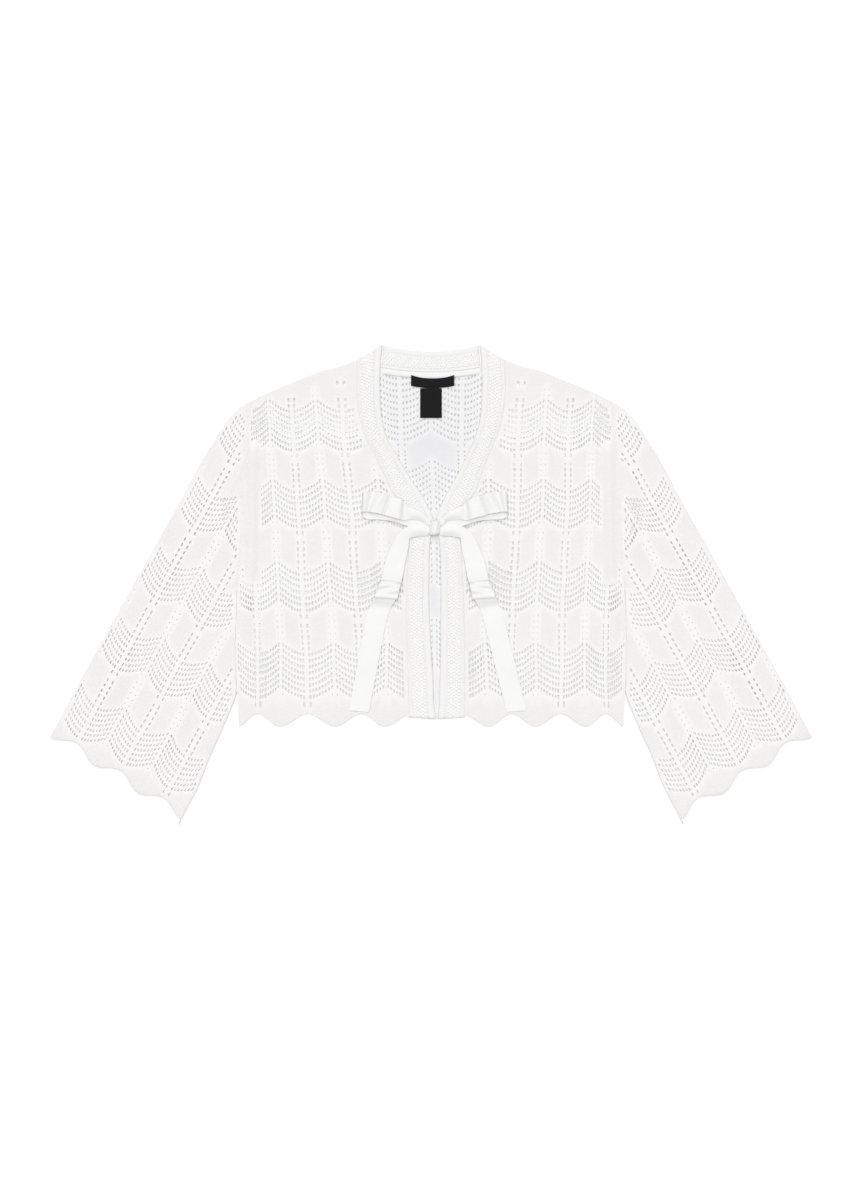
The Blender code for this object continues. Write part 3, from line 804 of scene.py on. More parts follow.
def swell_height(swells: Sequence[Swell], x: ndarray, y: ndarray) -> ndarray:
    """Height that crests give to places.

    Args:
        swells: The crests.
        x: The places' x, in millimetres.
        y: Their y.

    Returns:
        The height of each place, in millimetres.
    """
    total = np.zeros(np.shape(x))
    fade = 0.25
    for swell in swells:
        run = np.array([swell.x1 - swell.x0, swell.y1 - swell.y0])
        length = float(np.hypot(*run))
        along = ((x - swell.x0) * run[0] + (y - swell.y0) * run[1]) / length**2
        apart = np.abs((x - swell.x0) * run[1] - (y - swell.y0) * run[0]) / length
        ends = np.clip((np.minimum(along, 1.0 - along) + fade) / (2.0 * fade), 0.0, 1.0)
        ends = ends * ends * (3.0 - 2.0 * ends)
        bell = np.cos(np.clip(apart / swell.half, 0.0, 1.0) * math.pi / 2.0) ** 2
        total = total + swell.height * ends * bell
    return total


class Row(NamedTuple):
    """A course of cells: the height of its foot at a peak, and what it holds."""

    foot: float
    kind: RowKind


STRAND_BY_PLACE = {0: StrandKind.PEAK, 7: StrandKind.SPINE}


@dataclass
class LaceChart:
    """The pointelle pattern: chevron courses of eyelets between plain fans.

    Peaks and valleys of the chevrons take turns. The courses drop from each peak to its valleys
    by the same amount, and each half period holds the same number of strands.
    """

    strands: int = 8
    peak_margin: float = 0.04
    valley_margin: float = 0.06
    drop: float = 15.5
    net_opening: float = 0.57
    spine_opening: float = 0.63
    fan_opening: float = 0.18
    fan_shares: tuple[float, ...] = (0.15, 0.09, 0.152, 0.152, 0.152, 0.152, 0.152)
    gapes: Gapes = ()
    seed: int = 5

    def rows(self) -> list[Row]:
        """The courses from the lowest up, with a last plain one as the top line."""
        raise NotImplementedError

    def place(self, column: ndarray, level: ndarray) -> ndarray:
        """Where a column and a level lie, as an array of x and y."""
        raise NotImplementedError

    def flat(self, x: ndarray, y: ndarray) -> tuple[ndarray, ndarray]:
        """The knit map of places: across and along the stitches."""
        return x, y

    def column_span(self) -> tuple[int, int]:
        """The first and the last column, whole numbers, even ones peaks."""
        raise NotImplementedError

    def closed(self, x: ndarray, y: ndarray) -> ndarray:
        """How far the eyelets at places are drawn shut, from 0 to 1."""
        return np.zeros(np.shape(x))

    def stretch(self, x: ndarray, y: ndarray) -> ndarray:
        """How much wider than its share each eyelet gapes, as a factor."""
        factor = np.ones(np.shape(x))
        away = np.abs(x - PATTERN.centre_line(y))
        for middle, height, half_x, half_y, amount in self.gapes:
            reach = ((away - middle) / half_x) ** 2 + ((y - height) / half_y) ** 2
            factor += amount * np.sqrt(np.clip(1.0 - reach, 0.0, 1.0))
        return factor

    def courses(self, top: float, foot: float, kind: RowKind, pitch: float) -> list[Row]:
        """Even courses between two levels, from the lowest up."""
        count = max(1, round((top - foot) / pitch))
        return [Row(foot + (top - foot) * index / count, kind) for index in range(count)]

    def fan(self, top: float, foot: float) -> list[Row]:
        """The courses of a plain fan, which its valleys' spines cross.

        Args:
            top: The level of the fan's top edge at a peak.
            foot: The level of its foot.

        Returns:
            The courses from the lowest up.
        """
        levels = top - (top - foot) * np.cumsum(self.fan_shares)
        kinds = [RowKind.SPINE, RowKind.PLAIN] + [RowKind.SPINE] * (len(self.fan_shares) - 2)
        return [Row(float(level), kind) for level, kind in zip(levels, kinds)][::-1]

    def lines(self) -> tuple[ndarray, list[StrandKind]]:
        """The lengthwise lines of the lattice.

        Returns:
            The columns of the lines, and the kind of each strip between two of them.
        """
        first, last = self.column_span()
        width = (1.0 - self.peak_margin - self.valley_margin) / self.strands
        columns: list[float] = []
        kinds: list[StrandKind] = []
        for start in range(first, last):
            upward = start % 2 == 0
            margin = self.peak_margin if upward else self.valley_margin
            for index in range(self.strands):
                columns.append(start + margin + width * index)
                from_peak = index if upward else self.strands - 1 - index
                kinds.append(STRAND_BY_PLACE.get(from_peak, StrandKind.NET))
            columns.append(start + margin + width * self.strands)
            kinds.append(StrandKind.WALE)
        return np.array(columns), kinds[:-1]

    def chevron(self, column: ndarray) -> ndarray:
        """How far the courses drop at a column: sharp at a peak and round in a valley."""
        phase = np.abs((column + 1.0) % 2.0 - 1.0)
        return self.drop * np.sin(phase * math.pi / 2.0)


@dataclass
class BodyChart(LaceChart):
    """The pattern on the front and the back, for one half of the body."""

    side: float = 1.0
    drifts: bool = True
    first: int = 0
    pitch: float = 7.3
    hem_pitch: float = 11.6
    hem_level: float = -185.0
    top_level: float = 312.0
    top_spines: tuple[int, ...] = (0, 1, 4)
    nets: tuple[Pair, ...] = ((-69.3, -129.3), (31.8, -20.6), (134.3, 83.2), (234.5, 179.5))
    patches: tuple[tuple[float, float, float, float], ...] = ((223.0, 182.0, -4.0, 13.0),)
    gapes: Gapes = (
        (82.0, 4.0, 20.0, 34.0, 0.4), (211.0, 97.0, 9.0, 30.0, 0.3),
        (219.0, -108.0, 9.0, 60.0, 0.4), (214.0, 202.0, 12.0, 26.0, 0.4),
        (106.0, 240.0, 14.0, 28.0, 0.5), (168.0, 242.0, 16.0, 24.0, 0.5),
        (38.0, -112.0, 12.0, 50.0, 0.45),
    )

    def rows(self) -> list[Row]:
        """The courses from the hem to the shoulder."""
        levels = self.courses(self.nets[0][1], self.hem_level, RowKind.PLAIN, self.hem_pitch)
        levels[-1] = Row(levels[-1].foot, RowKind.SPINE)
        for index, (top, foot) in enumerate(self.nets):
            levels += self.courses(top, foot, RowKind.NET, self.pitch)
            if index + 1 < len(self.nets):
                levels += self.fan(self.nets[index + 1][1], top)
        levels += self.courses(self.top_level, self.nets[-1][0], RowKind.PLAIN, self.pitch)
        spine = next(i for i, row in enumerate(levels) if row.foot >= self.nets[-1][0] - 1e-6)
        for step in self.top_spines:
            levels[spine + step] = Row(levels[spine + step].foot, RowKind.SPINE)
        return levels + [Row(self.top_level, RowKind.PLAIN)]

    def place(self, column: ndarray, level: ndarray) -> ndarray:
        """Where a column and a level of the half lie."""
        y = level - self.chevron(column)
        x = PATTERN.column_x(column, y)
        if self.drifts:
            return PATTERN.placed(x, y, self.side)
        return np.stack([self.side * x, y], axis=-1)

    def column_span(self) -> tuple[int, int]:
        """From the middle or the band to past the side seam."""
        return self.first, 9

    def closed(self, x: ndarray, y: ndarray) -> ndarray:
        """Eyelets are drawn shut on the plain ridge beside the armhole."""
        shut = np.zeros(np.shape(x))
        if not self.drifts:
            return shut
        for middle, top, foot, half in self.patches:
            beside = np.clip((half - np.abs(np.abs(x) - middle)) / 3.0, 0.0, 1.0)
            upright = np.clip(np.minimum(top - y, y - foot) / 8.0, 0.0, 1.0)
            shut = np.maximum(shut, beside * upright)
        return shut


@dataclass
class SleeveChart(LaceChart):
    """The pattern on a sleeve, which runs straight along the arm."""

    side: float = 1.0
    drop: float = 18.0
    net_opening: float = 0.53
    spine_opening: float = 0.57
    gapes: Gapes = (
        (247.0, 96.0, 17.0, 40.0, 0.45),
    )
    pitch: float = 7.2
    shift_across: float = 0.0
    shift_along: float = 0.0
    fan_half: float = 25.0
    fans: tuple[float, ...] = (6.0, 106.0, 206.0, 306.0, 406.0)
    top_level: float = 560.0

    def rows(self) -> list[Row]:
        """The courses from the cuff to the shoulder."""
        first = self.fans[0]
        levels = self.courses(
            first + self.fan_half, first - 2.0 * self.fan_half, RowKind.PLAIN, self.pitch
        )
        levels[-1] = Row(levels[-1].foot, RowKind.SPINE)
        for here, after in zip(self.fans, self.fans[1:]):
            top = after - self.fan_half
            levels += self.courses(top, here + self.fan_half, RowKind.NET, self.pitch)
            levels += self.fan(after + self.fan_half, top)
        last = self.fans[-1] + self.fan_half
        levels += self.courses(last + 2.0 * self.fan_half, last, RowKind.NET, self.pitch)
        levels += self.courses(
            self.top_level, last + 2.0 * self.fan_half, RowKind.PLAIN, self.pitch
        )
        return levels + [Row(self.top_level, RowKind.PLAIN)]

    def place(self, column: ndarray, level: ndarray) -> ndarray:
        """Where a column and a level of the sleeve lie."""
        across = column * SLEEVE.period / 2.0 + self.shift_across
        along = level - self.chevron(column) + self.shift_along
        return SLEEVE.point(across, along) * np.array([self.side, 1.0])

    def flat(self, x: ndarray, y: ndarray) -> tuple[ndarray, ndarray]:
        """The knit map of places: across and along the arm."""
        x = x * self.side
        return (
            x * SLEEVE.across[0] + y * SLEEVE.across[1], x * SLEEVE.axis[0] + y * SLEEVE.axis[1]
        )

    def column_span(self) -> tuple[int, int]:
        """From the outer edge to past the body."""
        return -1, 9


@dataclass(frozen=True)
class BodyPattern:
    """The flat pattern of the body: the half at +X."""

    side_seam: tuple[Place, ...] = (
        Place(240.0, -178.0), Place(242.5, -134.0), Place(243.8, -69.0), Place(242.0, -7.0),
    )
    armhole: tuple[Place, ...] = (
        Place(242.0, -7.0), Place(237.5, 56.0), Place(235.0, 131.0), Place(230.0, 181.0),
        Place(223.8, 229.4),
    )
    shoulder: tuple[Place, ...] = (
        Place(223.8, 229.4), Place(213.8, 234.4), Place(188.8, 245.6), Place(163.8, 255.6),
        Place(138.8, 265.6), Place(113.8, 272.2), Place(92.5, 280.4), Place(61.0, 299.4),
    )
    drift_y: tuple[float, ...] = (-178.0, -120.0, -30.0, 90.0, 180.0)
    drift_x: tuple[float, ...] = (7.2, 6.9, 4.9, 4.6, 0.0)
    column_heights: Triple = (180.0, -70.0, -170.0)
    columns_upper: tuple[float, ...] = (0, 38, 71, 109, 141, 172, 201, 226, 255, 284)
    columns_lower: tuple[float, ...] = (0, 32, 61, 95, 126, 160, 189, 217, 243, 270)
    columns_hem: tuple[float, ...] = (0, 31, 65, 94, 125, 158, 191, 218, 242, 268)
    hem_peak: float = -177.0
    hem_valley: float = -161.5
    back_rise: float = 9.0
    gap: float = 0.3
    wall: float = 1.5
    neck_top: Triple = (59.0, 299.0, 290.8)
    neck_foot: Triple = (61.8, 271.0, 265.4)

    def centre_line(self, y: ndarray | float) -> ndarray:
        """How far the opening lies to +X at a height."""
        return np.interp(y, self.drift_y, self.drift_x)

    def placed(self, x: ndarray, y: ndarray, side: float) -> ndarray:
        """Put places of the half at +X on either side, with the drift of the opening.

        Args:
            x: The places' x.
            y: Their y.
            side: 1 for the half at +X, -1 for the other.

        Returns:
            An array of x and y.
        """
        seam_x = self.side_seam[0].x
        fade = np.clip((seam_x - x) / (seam_x - BAND_SEAM_TOP - self.gap), 0.0, 1.0)
        return np.stack([side * x + self.centre_line(y) * fade, np.asarray(y, float)], axis=-1)

    def column_x(self, column: ndarray, y: ndarray) -> ndarray:
        """Where pointelle columns cross heights."""
        numbers = np.arange(len(self.columns_upper))
        upper = np.interp(column, numbers, self.columns_upper)
        lower = np.interp(column, numbers, self.columns_lower)
        hem = np.interp(column, numbers, self.columns_hem)
        top_y, low_y, hem_y = self.column_heights
        above = lower + (upper - lower) * (y - low_y) / (top_y - low_y)
        below = hem + (lower - hem) * np.clip((y - hem_y) / (low_y - hem_y), 0.0, 1.0)
        return np.where(y >= low_y, above, below)

    def hem(self, first: float, rise: float, step: float = 0.1) -> ndarray:
        """The scalloped hem from a column to the side seam.

        Args:
            first: The column that it starts at.
            rise: How far it lies above the front's hem.
            step: The spacing of its points, in columns.

        Returns:
            Its points, x and y.
        """
        column = np.arange(first, 8.0 - step / 2.0, step)
        phase = np.abs((column + 1.0) % 2.0 - 1.0)
        share = (1.0 - np.cos(phase * math.pi)) / 2.0
        y = self.hem_peak + (self.hem_valley - self.hem_peak) * share + rise
        points = np.stack([self.column_x(column, y), y], axis=-1)
        points = points[points[:, 0] < self.side_seam[0].x - 2.0]
        return np.vstack([points, (self.side_seam[0].x, self.hem_peak + rise)])

    def edge(self, step: float = 8.0) -> list[ndarray]:
        """Side seam, armhole and shoulder, each from the hem's side up."""
        return [
            smooth_line(self.side_seam[1:], step),
            smooth_line(self.armhole, step),
            smooth_line(self.shoulder[:-1], step),
        ]

    def back_outline(self) -> ndarray:
        """The outline of the back panel."""
        side, armhole, shoulder = self.edge()
        neck_x, neck_side, neck_middle = self.neck_foot
        shares = np.linspace(1.0, 0.1, 10)
        curve = np.stack(
            [
                neck_x * shares + self.gap * (shares > 0.95),
                neck_middle + (neck_side - neck_middle) * shares**2 - self.gap,
            ],
            axis=-1,
        )
        corner = np.array([[self.neck_top[0] + self.gap, self.neck_top[1]]])
        right = np.vstack(
            [self.hem(0.0, self.back_rise), side, armhole[1:], shoulder[1:], corner, curve]
        )
        left = right[::-1] * np.array([-1.0, 1.0])
        middle = np.array([[0.0, neck_middle - self.gap]])
        return np.vstack([right, middle, left[:-1]])

    def front_outline(self, seam: ndarray, side: float) -> ndarray:
        """The outline of a front panel.

        Args:
            seam: The seam beside the band, from the shoulder to the hem.
            side: 1 for the half at +X, -1 for the other.

        Returns:
            Its corners, counterclockwise.
        """
        hem = self.hem(1.0, 0.0)
        hem = hem[hem[:, 0] > seam[-1][0] + 1.2]
        edge = self.edge()
        shoulder = edge[2][edge[2][:, 0] > seam[0][0] + 1.0]
        right = np.vstack([hem, edge[0], edge[1][1:], shoulder[1:], seam])
        outline = self.placed(right[:, 0], right[:, 1], side)
        return outline if side > 0 else outline[::-1]


@dataclass(frozen=True)
class SleevePattern:
    """The flat pattern of a sleeve, folded flat along its two edges: the one at +X."""

    outer: tuple[Place, ...] = (
        Place(475.6, -190.6), Place(463.8, -169.4), Place(438.8, -122.5), Place(413.8, -77.5),
        Place(388.8, -32.0), Place(363.8, 12.5), Place(338.8, 57.0), Place(313.8, 101.5),
        Place(288.8, 149.0), Place(276.2, 169.5), Place(263.8, 189.8), Place(251.2, 208.0),
        Place(238.8, 220.0), Place(224.3, 229.2),
    )
    tip: Place = Place(315.0, -299.4)
    inner: tuple[Place, ...] = (
        Place(307.5, -284.4), Place(291.2, -253.1), Place(277.5, -218.1), Place(262.5, -184.4),
        Place(246.2, -145.6), Place(243.4, -136.0),
    )
    axis: Pair = (-0.483, 0.8756)
    across: Pair = (-0.8756, -0.483)
    period: float = 64.6
    cuff_width: float = 193.8
    cuff_level: float = 5.5
    cuff_slope: float = -0.06
    cuff_scallop: float = 6.0
    height: float = 3.3

    def point(self, across: ndarray, along: ndarray) -> ndarray:
        """Places from how far they lie across the cuff and along the arm."""
        start = np.array(self.outer[0])
        return (
            start
            + np.multiply.outer(across, np.array(self.across))
            + np.multiply.outer(along, np.array(self.axis))
        )

    def cuff(self, step: float = 3.0) -> ndarray:
        """The scalloped cuff between its two corners."""
        across = np.arange(step, self.cuff_width - step / 2.0, step)
        wave = np.cos(2.0 * math.pi * across / self.period)
        along = self.cuff_level + self.cuff_slope * across - self.cuff_scallop * wave
        return self.point(across, along)

    def lines(self) -> tuple[ndarray, ndarray, ndarray, ndarray]:
        """Cuff, inner fold, armhole and outer fold, in order round the outline."""
        gap = np.array([PATTERN.gap, 0.0])
        beside = [np.array(place) + gap for place in PATTERN.side_seam[1:-1]]
        inner = smooth_line([self.tip, *self.inner, *beside[1:]], 8.0)
        armhole = smooth_line(PATTERN.armhole, 8.0) + gap
        outer = smooth_line(self.outer, 8.0)[::-1]
        return self.cuff(), inner, armhole[:-1], outer


class Station(NamedTuple):
    """A line across the front band, measured from the opening's centre line."""

    outer_x: float
    outer_y: float
    inner_x: float
    inner_y: float


BAND_SEAM_TOP = 92.5
PATTERN = BodyPattern()
SLEEVE = SleevePattern()


@dataclass
class Workshop:
    """What every sub-assembly works with."""

    palette: Palette
    eyelets: Eyelets
    stitches: Stitches


@dataclass
class KnitPanel:
    """A sheet of pointelle: whole cells of the chart, and plain knit out to the outline."""

    name: str
    outline: ndarray
    chart: LaceChart
    surface: Callable[[ndarray, ndarray], ndarray]
    margin: float = 1.7
    edge_width: float = 0.9
    edge_drop: float = 0.15
    ring_sides: int = 8
    warp: Pair = (1.1, 0.5)

    def cells(self) -> tuple[ndarray, ndarray, list[list[int]], list[float]]:
        """Lay out the cells that lie wholly inside the outline.

        Returns:
            The places of the lattice, which of them are corners of cells, the cells as rings
            of places, and the opening of each cell.
        """
        rows = self.chart.rows()
        columns, kinds = self.chart.lines()
        levels = np.array([row.foot for row in rows])
        fine_columns = np.interp(np.arange(2 * len(columns) - 1) / 2, range(len(columns)), columns)
        fine_levels = np.interp(np.arange(2 * len(levels) - 1) / 2, range(len(levels)), levels)
        column_grid, level_grid = np.meshgrid(fine_columns, fine_levels, indexing="ij")
        places = self.chart.place(column_grid, level_grid).reshape(-1, 2)
        places = places + self._drawn(places)
        free = clearance(places, self.outline) > self.margin
        deep = len(fine_levels)
        chance = np.random.default_rng(self.chart.seed)
        rings: list[list[int]] = []
        openings: list[float] = []
        for i, kind in enumerate(kinds):
            for j, row in enumerate(rows[:-1]):
                a = 2 * i * deep + 2 * j
                left = [a, a + 1, a + 2]
                right = [index + 2 * deep for index in left]
                ring = [*left[::-1], a + deep, *right, a + deep + 2]
                if self.ring_sides == 6:
                    ring = [*left[::-1], *right]
                luck = chance.normal(1.0, 0.1)
                if not all(free[index] for index in ring):
                    continue
                rings.append(ring)
                openings.append(self._opening(kind, row.kind) * float(np.clip(luck, 0.7, 1.25)))
        is_corner = np.zeros((len(fine_columns), deep))
        is_corner[::2, ::2] = 1.0
        middle = np.array([places[ring].mean(axis=0) for ring in rings])
        shut = self.chart.closed(middle[:, 0], middle[:, 1])
        gape = self.chart.stretch(middle[:, 0], middle[:, 1])
        openings = np.minimum(np.array(openings) * (1.0 - shut) * gape, 0.8)
        return places, is_corner.ravel(), rings, openings.tolist()

    def _drawn(self, places: ndarray) -> ndarray:
        """How far handling has drawn the stitches out of line at each place."""
        long, short = self.warp
        shifts = []
        for offset in (0.0, 400.0):
            shifts.append(
                [
                    long * unevenness(x + offset, y, 46.0) + short * unevenness(x, y + offset, 7.0)
                    for x, y in places
                ]
            )
        return np.array(shifts).T

    def _opening(self, strand: StrandKind, row: RowKind) -> float:
        """The size of a cell's eyelet as a share of the cell, or 0."""
        if strand is StrandKind.WALE or row is RowKind.PLAIN:
            return 0.0
        if strand is StrandKind.SPINE:
            return self.chart.spine_opening
        if row is RowKind.NET:
            return self.chart.net_opening
        return self.chart.fan_opening if strand is StrandKind.PEAK else 0.0

    def sheet(self) -> Sheet:
        """Join the cells with plain knit out to the outline.

        Returns:
            The points in millimetres, the faces, which points are corners of cells and the
            opening of each face. The outline's points come first.
        """
        places, is_corner, rings, openings = self.cells()
        count = len(self.outline)
        inset = self._inset()
        uses: dict[tuple[int, int], int] = {}
        for ring in rings:
            for a, b in zip(ring, ring[1:] + ring[:1]):
                key = (min(a, b), max(a, b))
                uses[key] = uses.get(key, 0) + 1
        border = [key for key, times in uses.items() if times == 1]
        used = sorted({index for ring in rings for index in ring})
        number = {old: 2 * count + new for new, old in enumerate(used)}
        flat = np.vstack([self.outline, inset, places[used]])
        rim = sorted({index for key in border for index in key})
        feed = list(range(count, 2 * count)) + [number[index] for index in rim]
        local = {old: new for new, old in enumerate(feed)}
        edges = [(index, (index + 1) % count) for index in range(count)]
        edges += [(local[number[a]], local[number[b]]) for a, b in border]
        result = delaunay_2d_cdt([Vector(flat[index]) for index in feed], edges, [], 1, 1e-7)
        source = [feed[ids[0]] if ids else feed[self._nearest(place, flat[feed])]
                  for place, ids in zip(result[0], result[3])]
        triangles = np.array([[source[index] for index in face] for face in result[2]])
        whole = [len(set(face)) == 3 for face in triangles.tolist()]
        triangles = triangles[whole]
        middles = flat[triangles].mean(axis=1)
        triangles = triangles[~self._covered(middles, flat, border, number)]
        a, b, c = (flat[triangles[:, index]] for index in range(3))
        turn = (b[:, 0] - a[:, 0]) * (c[:, 1] - a[:, 1]) - (b[:, 1] - a[:, 1]) * (c[:, 0] - a[:, 0])
        triangles[turn < 0] = triangles[turn < 0][:, ::-1]
        faces = [[number[index] for index in ring] for ring in rings]
        mirrored = self._turned(flat, faces[0])
        if mirrored:
            faces = [ring[::-1] for ring in faces]
        faces += triangles.tolist()
        after = [(index + 1) % count for index in range(count)]
        faces += [[a, b, count + b, count + a] for a, b in enumerate(after)]
        height = self.surface(flat[:, 0], flat[:, 1])
        height[:count] -= self.edge_drop
        points = np.column_stack([flat, height])
        corner = np.concatenate([np.zeros(2 * count), is_corner[used]])
        opening = np.concatenate([openings, np.zeros(len(triangles) + count)])
        return points, faces, corner, opening

    def _inset(self) -> ndarray:
        """A line just inside the outline, nearer to it in narrow corners."""
        out = self.edge_width * outward(self.outline)
        inset = self.outline - 0.05 * out
        for share in (0.1, 0.2, 0.35, 0.6, 1.0):
            further = self.outline - share * out
            clear = clearance(further, self.outline) >= 0.75 * share * self.edge_width
            inset[clear] = further[clear]
        return inset

    @staticmethod
    def _nearest(place: Vector, points: ndarray) -> int:
        """The number of the point nearest to a place, where two edges cross in a sharp corner."""
        return int(np.argmin(np.linalg.norm(points - np.array(place), axis=1)))

    @staticmethod
    def _turned(flat: ndarray, ring: list[int]) -> bool:
        """Whether a ring of places runs clockwise."""
        x, y = flat[ring, 0], flat[ring, 1]
        return float(np.sum(x * np.roll(y, -1) - np.roll(x, -1) * y)) < 0.0

    @staticmethod
    def _covered(
        points: ndarray, flat: ndarray, border: list[tuple[int, int]], number: dict[int, int]
    ) -> ndarray:
        """Which points lie on the cells, by counting the borders to their right."""
        odd = np.zeros(len(points), bool)
        for a, b in border:
            odd ^= crossed(points, flat[number[a]], flat[number[b]])
        return odd


def softened(mesh: Mesh, values: ndarray, rounds: int) -> ndarray:
    """Average values along a mesh's edges.

    Args:
        mesh: The mesh.
        values: A value for each point.
        rounds: How often to average.

    Returns:
        The values, blurred.
    """
    ends = read(mesh.edges, "vertices", 2, np.int32)
    first, second = ends.T
    count = np.bincount(ends.ravel(), minlength=len(values))
    for _ in range(rounds):
        near = np.bincount(first, values[second], len(values))
        near += np.bincount(second, values[first], len(values))
        values = 0.4 * values + 0.6 * near / np.maximum(count, 1)
    return values


def knit_object(
    shop: Workshop, panel: KnitPanel, sheet: Sheet, wall: float, material: Material
) -> Object:
    """Make a perforated wall of knit.

    Args:
        shop: The shared tools.
        panel: The panel, which gives the name and the chart.
        sheet: The outer surface, whose faces face out, in the form of KnitPanel.sheet().
        wall: The thickness, in millimetres.
        material: The finish.

    Returns:
        The piece, a plain mesh that rests on or above z = 0.
    """
    points, faces, corner, opening = sheet
    mesh = bpy.data.meshes.new(panel.name)
    mesh.from_pydata((points * MM).tolist(), [], faces)
    store(mesh, OPENING, "FLOAT", "FACE", opening)
    store(mesh, CORNER, "FLOAT", "POINT", corner)
    # Where the painted lace light goes: the points of faces with an eyelet, softened.
    lace = np.zeros(len(points))
    for face, size in zip(faces, opening):
        if size > 0.0:
            lace[face] = 1.0
    store(mesh, LACE, "FLOAT", "POINT", softened(mesh, lace, 3))
    item = linked(panel.name, mesh)
    shop.eyelets.cut(item, material)
    solidified(item, wall)
    make_plain(item)
    mesh = item.data
    places = read(mesh.vertices, "co", 3)
    places[:, 2] = np.maximum(places[:, 2], 0.0)
    mesh.vertices.foreach_set("co", places.ravel())
    for attribute in (OPENING, CORNER):
        if attribute in mesh.attributes:
            mesh.attributes.remove(mesh.attributes[attribute])
    mesh.shade_smooth()
    mesh.set_sharp_from_angle(angle=SHARP)
    flat_map(mesh, panel.chart.flat)
    mesh.update()
    return item


def dress_faces(
    item: Object,
    material: Material,
    way: float,
    chosen: Callable[[ndarray], ndarray] | None = None,
) -> None:
    """Give faces of a plain mesh that look up or down another finish.

    Args:
        item: The piece.
        material: The finish.
        way: 1 for faces that look up, -1 for faces that look down.
        chosen: Tells from the faces' middles, in millimetres, which ones are meant, if not all.
    """
    mesh = item.data
    mesh.materials.append(material)
    slots = read(mesh.polygons, "material_index", 1, np.int32)[:, 0]
    meant = way * read(mesh.polygons, "normal", 3)[:, 2] > 0.5
    if chosen:
        meant &= chosen(read(mesh.polygons, "center", 3) / MM)
    slots[meant] = len(mesh.materials) - 1
    mesh.polygons.foreach_set("material_index", slots)


@dataclass
class Body:
    """The back and the two fronts."""

    shop: Workshop
    seam: ndarray
    ridges: tuple[Swell, ...] = (
        Swell(222.0, 182.0, 224.0, 40.0, 2.6, 11.0), Swell(224.0, 40.0, 229.0, -62.0, 2.0, 10.0),
        Swell(196.0, -40.0, 205.0, -110.0, 0.8, 12.0), Swell(150.0, 120.0, 128.0, 20.0, 0.5, 16.0),
        Swell(98.0, 40.0, 90.0, -60.0, 0.5, 13.0), Swell(178.0, 235.0, 196.0, 150.0, 0.7, 14.0),
    )
    swell: float = 0.5
    wall: float = 1.1

    def build(self) -> Pieces:
        """Make the panels, each given by its name."""
        pieces = {"back_panel": self._back()}
        for word, side in SIDES:
            pieces[f"front_panel_{word}"] = self._front(word, side)
        return pieces

    def _back(self) -> Object:
        """Make the back panel of two mirrored halves that meet in the middle wale."""
        palette = self.shop.palette
        panel = KnitPanel(
            "back_panel",
            PATTERN.back_outline(),
            BackChart(),
            lambda x, y: np.full(np.shape(x), PATTERN.wall),
            ring_sides=6,
        )
        # The back's inner face takes the painted shade copy of the knit.
        item = knit_object(self.shop, panel, panel.sheet(), self.wall, palette.inside)
        dress_faces(item, palette.knit, -1.0)
        # Painted shade on the back's inner face where the fronts and bands cover it.
        dress_faces(item, palette.painted_shade_knit, 1.0, self._under_fronts)
        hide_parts("back")
        declare(item)
        return item

    def _under_fronts(self, middles: ndarray) -> ndarray:
        """Which places of the back lie under the bands or the fronts."""
        rows = self.seam[np.argsort(self.seam[:, 1])]
        reach = np.interp(middles[:, 1], rows[:, 1], rows[:, 0])
        return np.abs(middles[:, 0] - PATTERN.centre_line(middles[:, 1])) > reach

    def _front(self, word: str, side: float) -> Object:
        """Make a front panel."""
        outline = PATTERN.front_outline(self.seam, side)
        chart = BodyChart(side=side, first=1, seed=11 if side > 0 else 12)
        ridges = [swell._replace(x0=side * swell.x0, x1=side * swell.x1) for swell in self.ridges]
        base = PATTERN.wall + PATTERN.gap + PATTERN.wall

        def surface(x: ndarray, y: ndarray) -> ndarray:
            swells = [1.0 + unevenness(u, v, 55.0) for u, v in zip(x, y)]
            return base + swell_height(ridges, x, y) + self.swell * np.array(swells) / 2.0

        panel = KnitPanel(f"front_panel_{word}", outline, chart, surface)
        item = knit_object(self.shop, panel, panel.sheet(), self.wall, self.shop.palette.knit)
        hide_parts(f"front_{word}")
        declare(item)
        return item


@dataclass
class BackChart(BodyChart):
    """The pattern on the back, with a peak in the middle."""

    drifts: bool = False
    seed: int = 7
    net_opening: float = 0.48
    spine_opening: float = 0.54
    fan_opening: float = 0.0
    gapes: Gapes = ()
    top_spines: tuple[int, ...] = ()
    nets: tuple[Pair, ...] = ((-39.2, -102.0), (58.1, 1.9), (159.3, 93.2), (276.0, 192.2))

    def lines(self) -> tuple[ndarray, list[StrandKind]]:
        """The lines of both halves, mirrored about the middle wale."""
        columns, kinds = super().lines()
        both = np.concatenate([-columns[::-1], columns])
        return both, kinds[::-1] + [StrandKind.WALE] + kinds

    def place(self, column: ndarray, level: ndarray) -> ndarray:
        """Where a column and a level lie, with columns below 0 at -X."""
        y = level - self.chevron(np.abs(column))
        x = PATTERN.column_x(np.abs(column), y) * np.sign(column)
        fade = np.clip(1.0 - np.abs(x) / PATTERN.side_seam[0].x, 0.0, 1.0)
        return np.stack([x + 0.8 * fade * PATTERN.centre_line(y), y], axis=-1)


def declare(
    item: Object
) -> None:
    """Attach a flat piece of cloth to the body.

    Args:
        item: The piece.
    """
    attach(item, BODY)


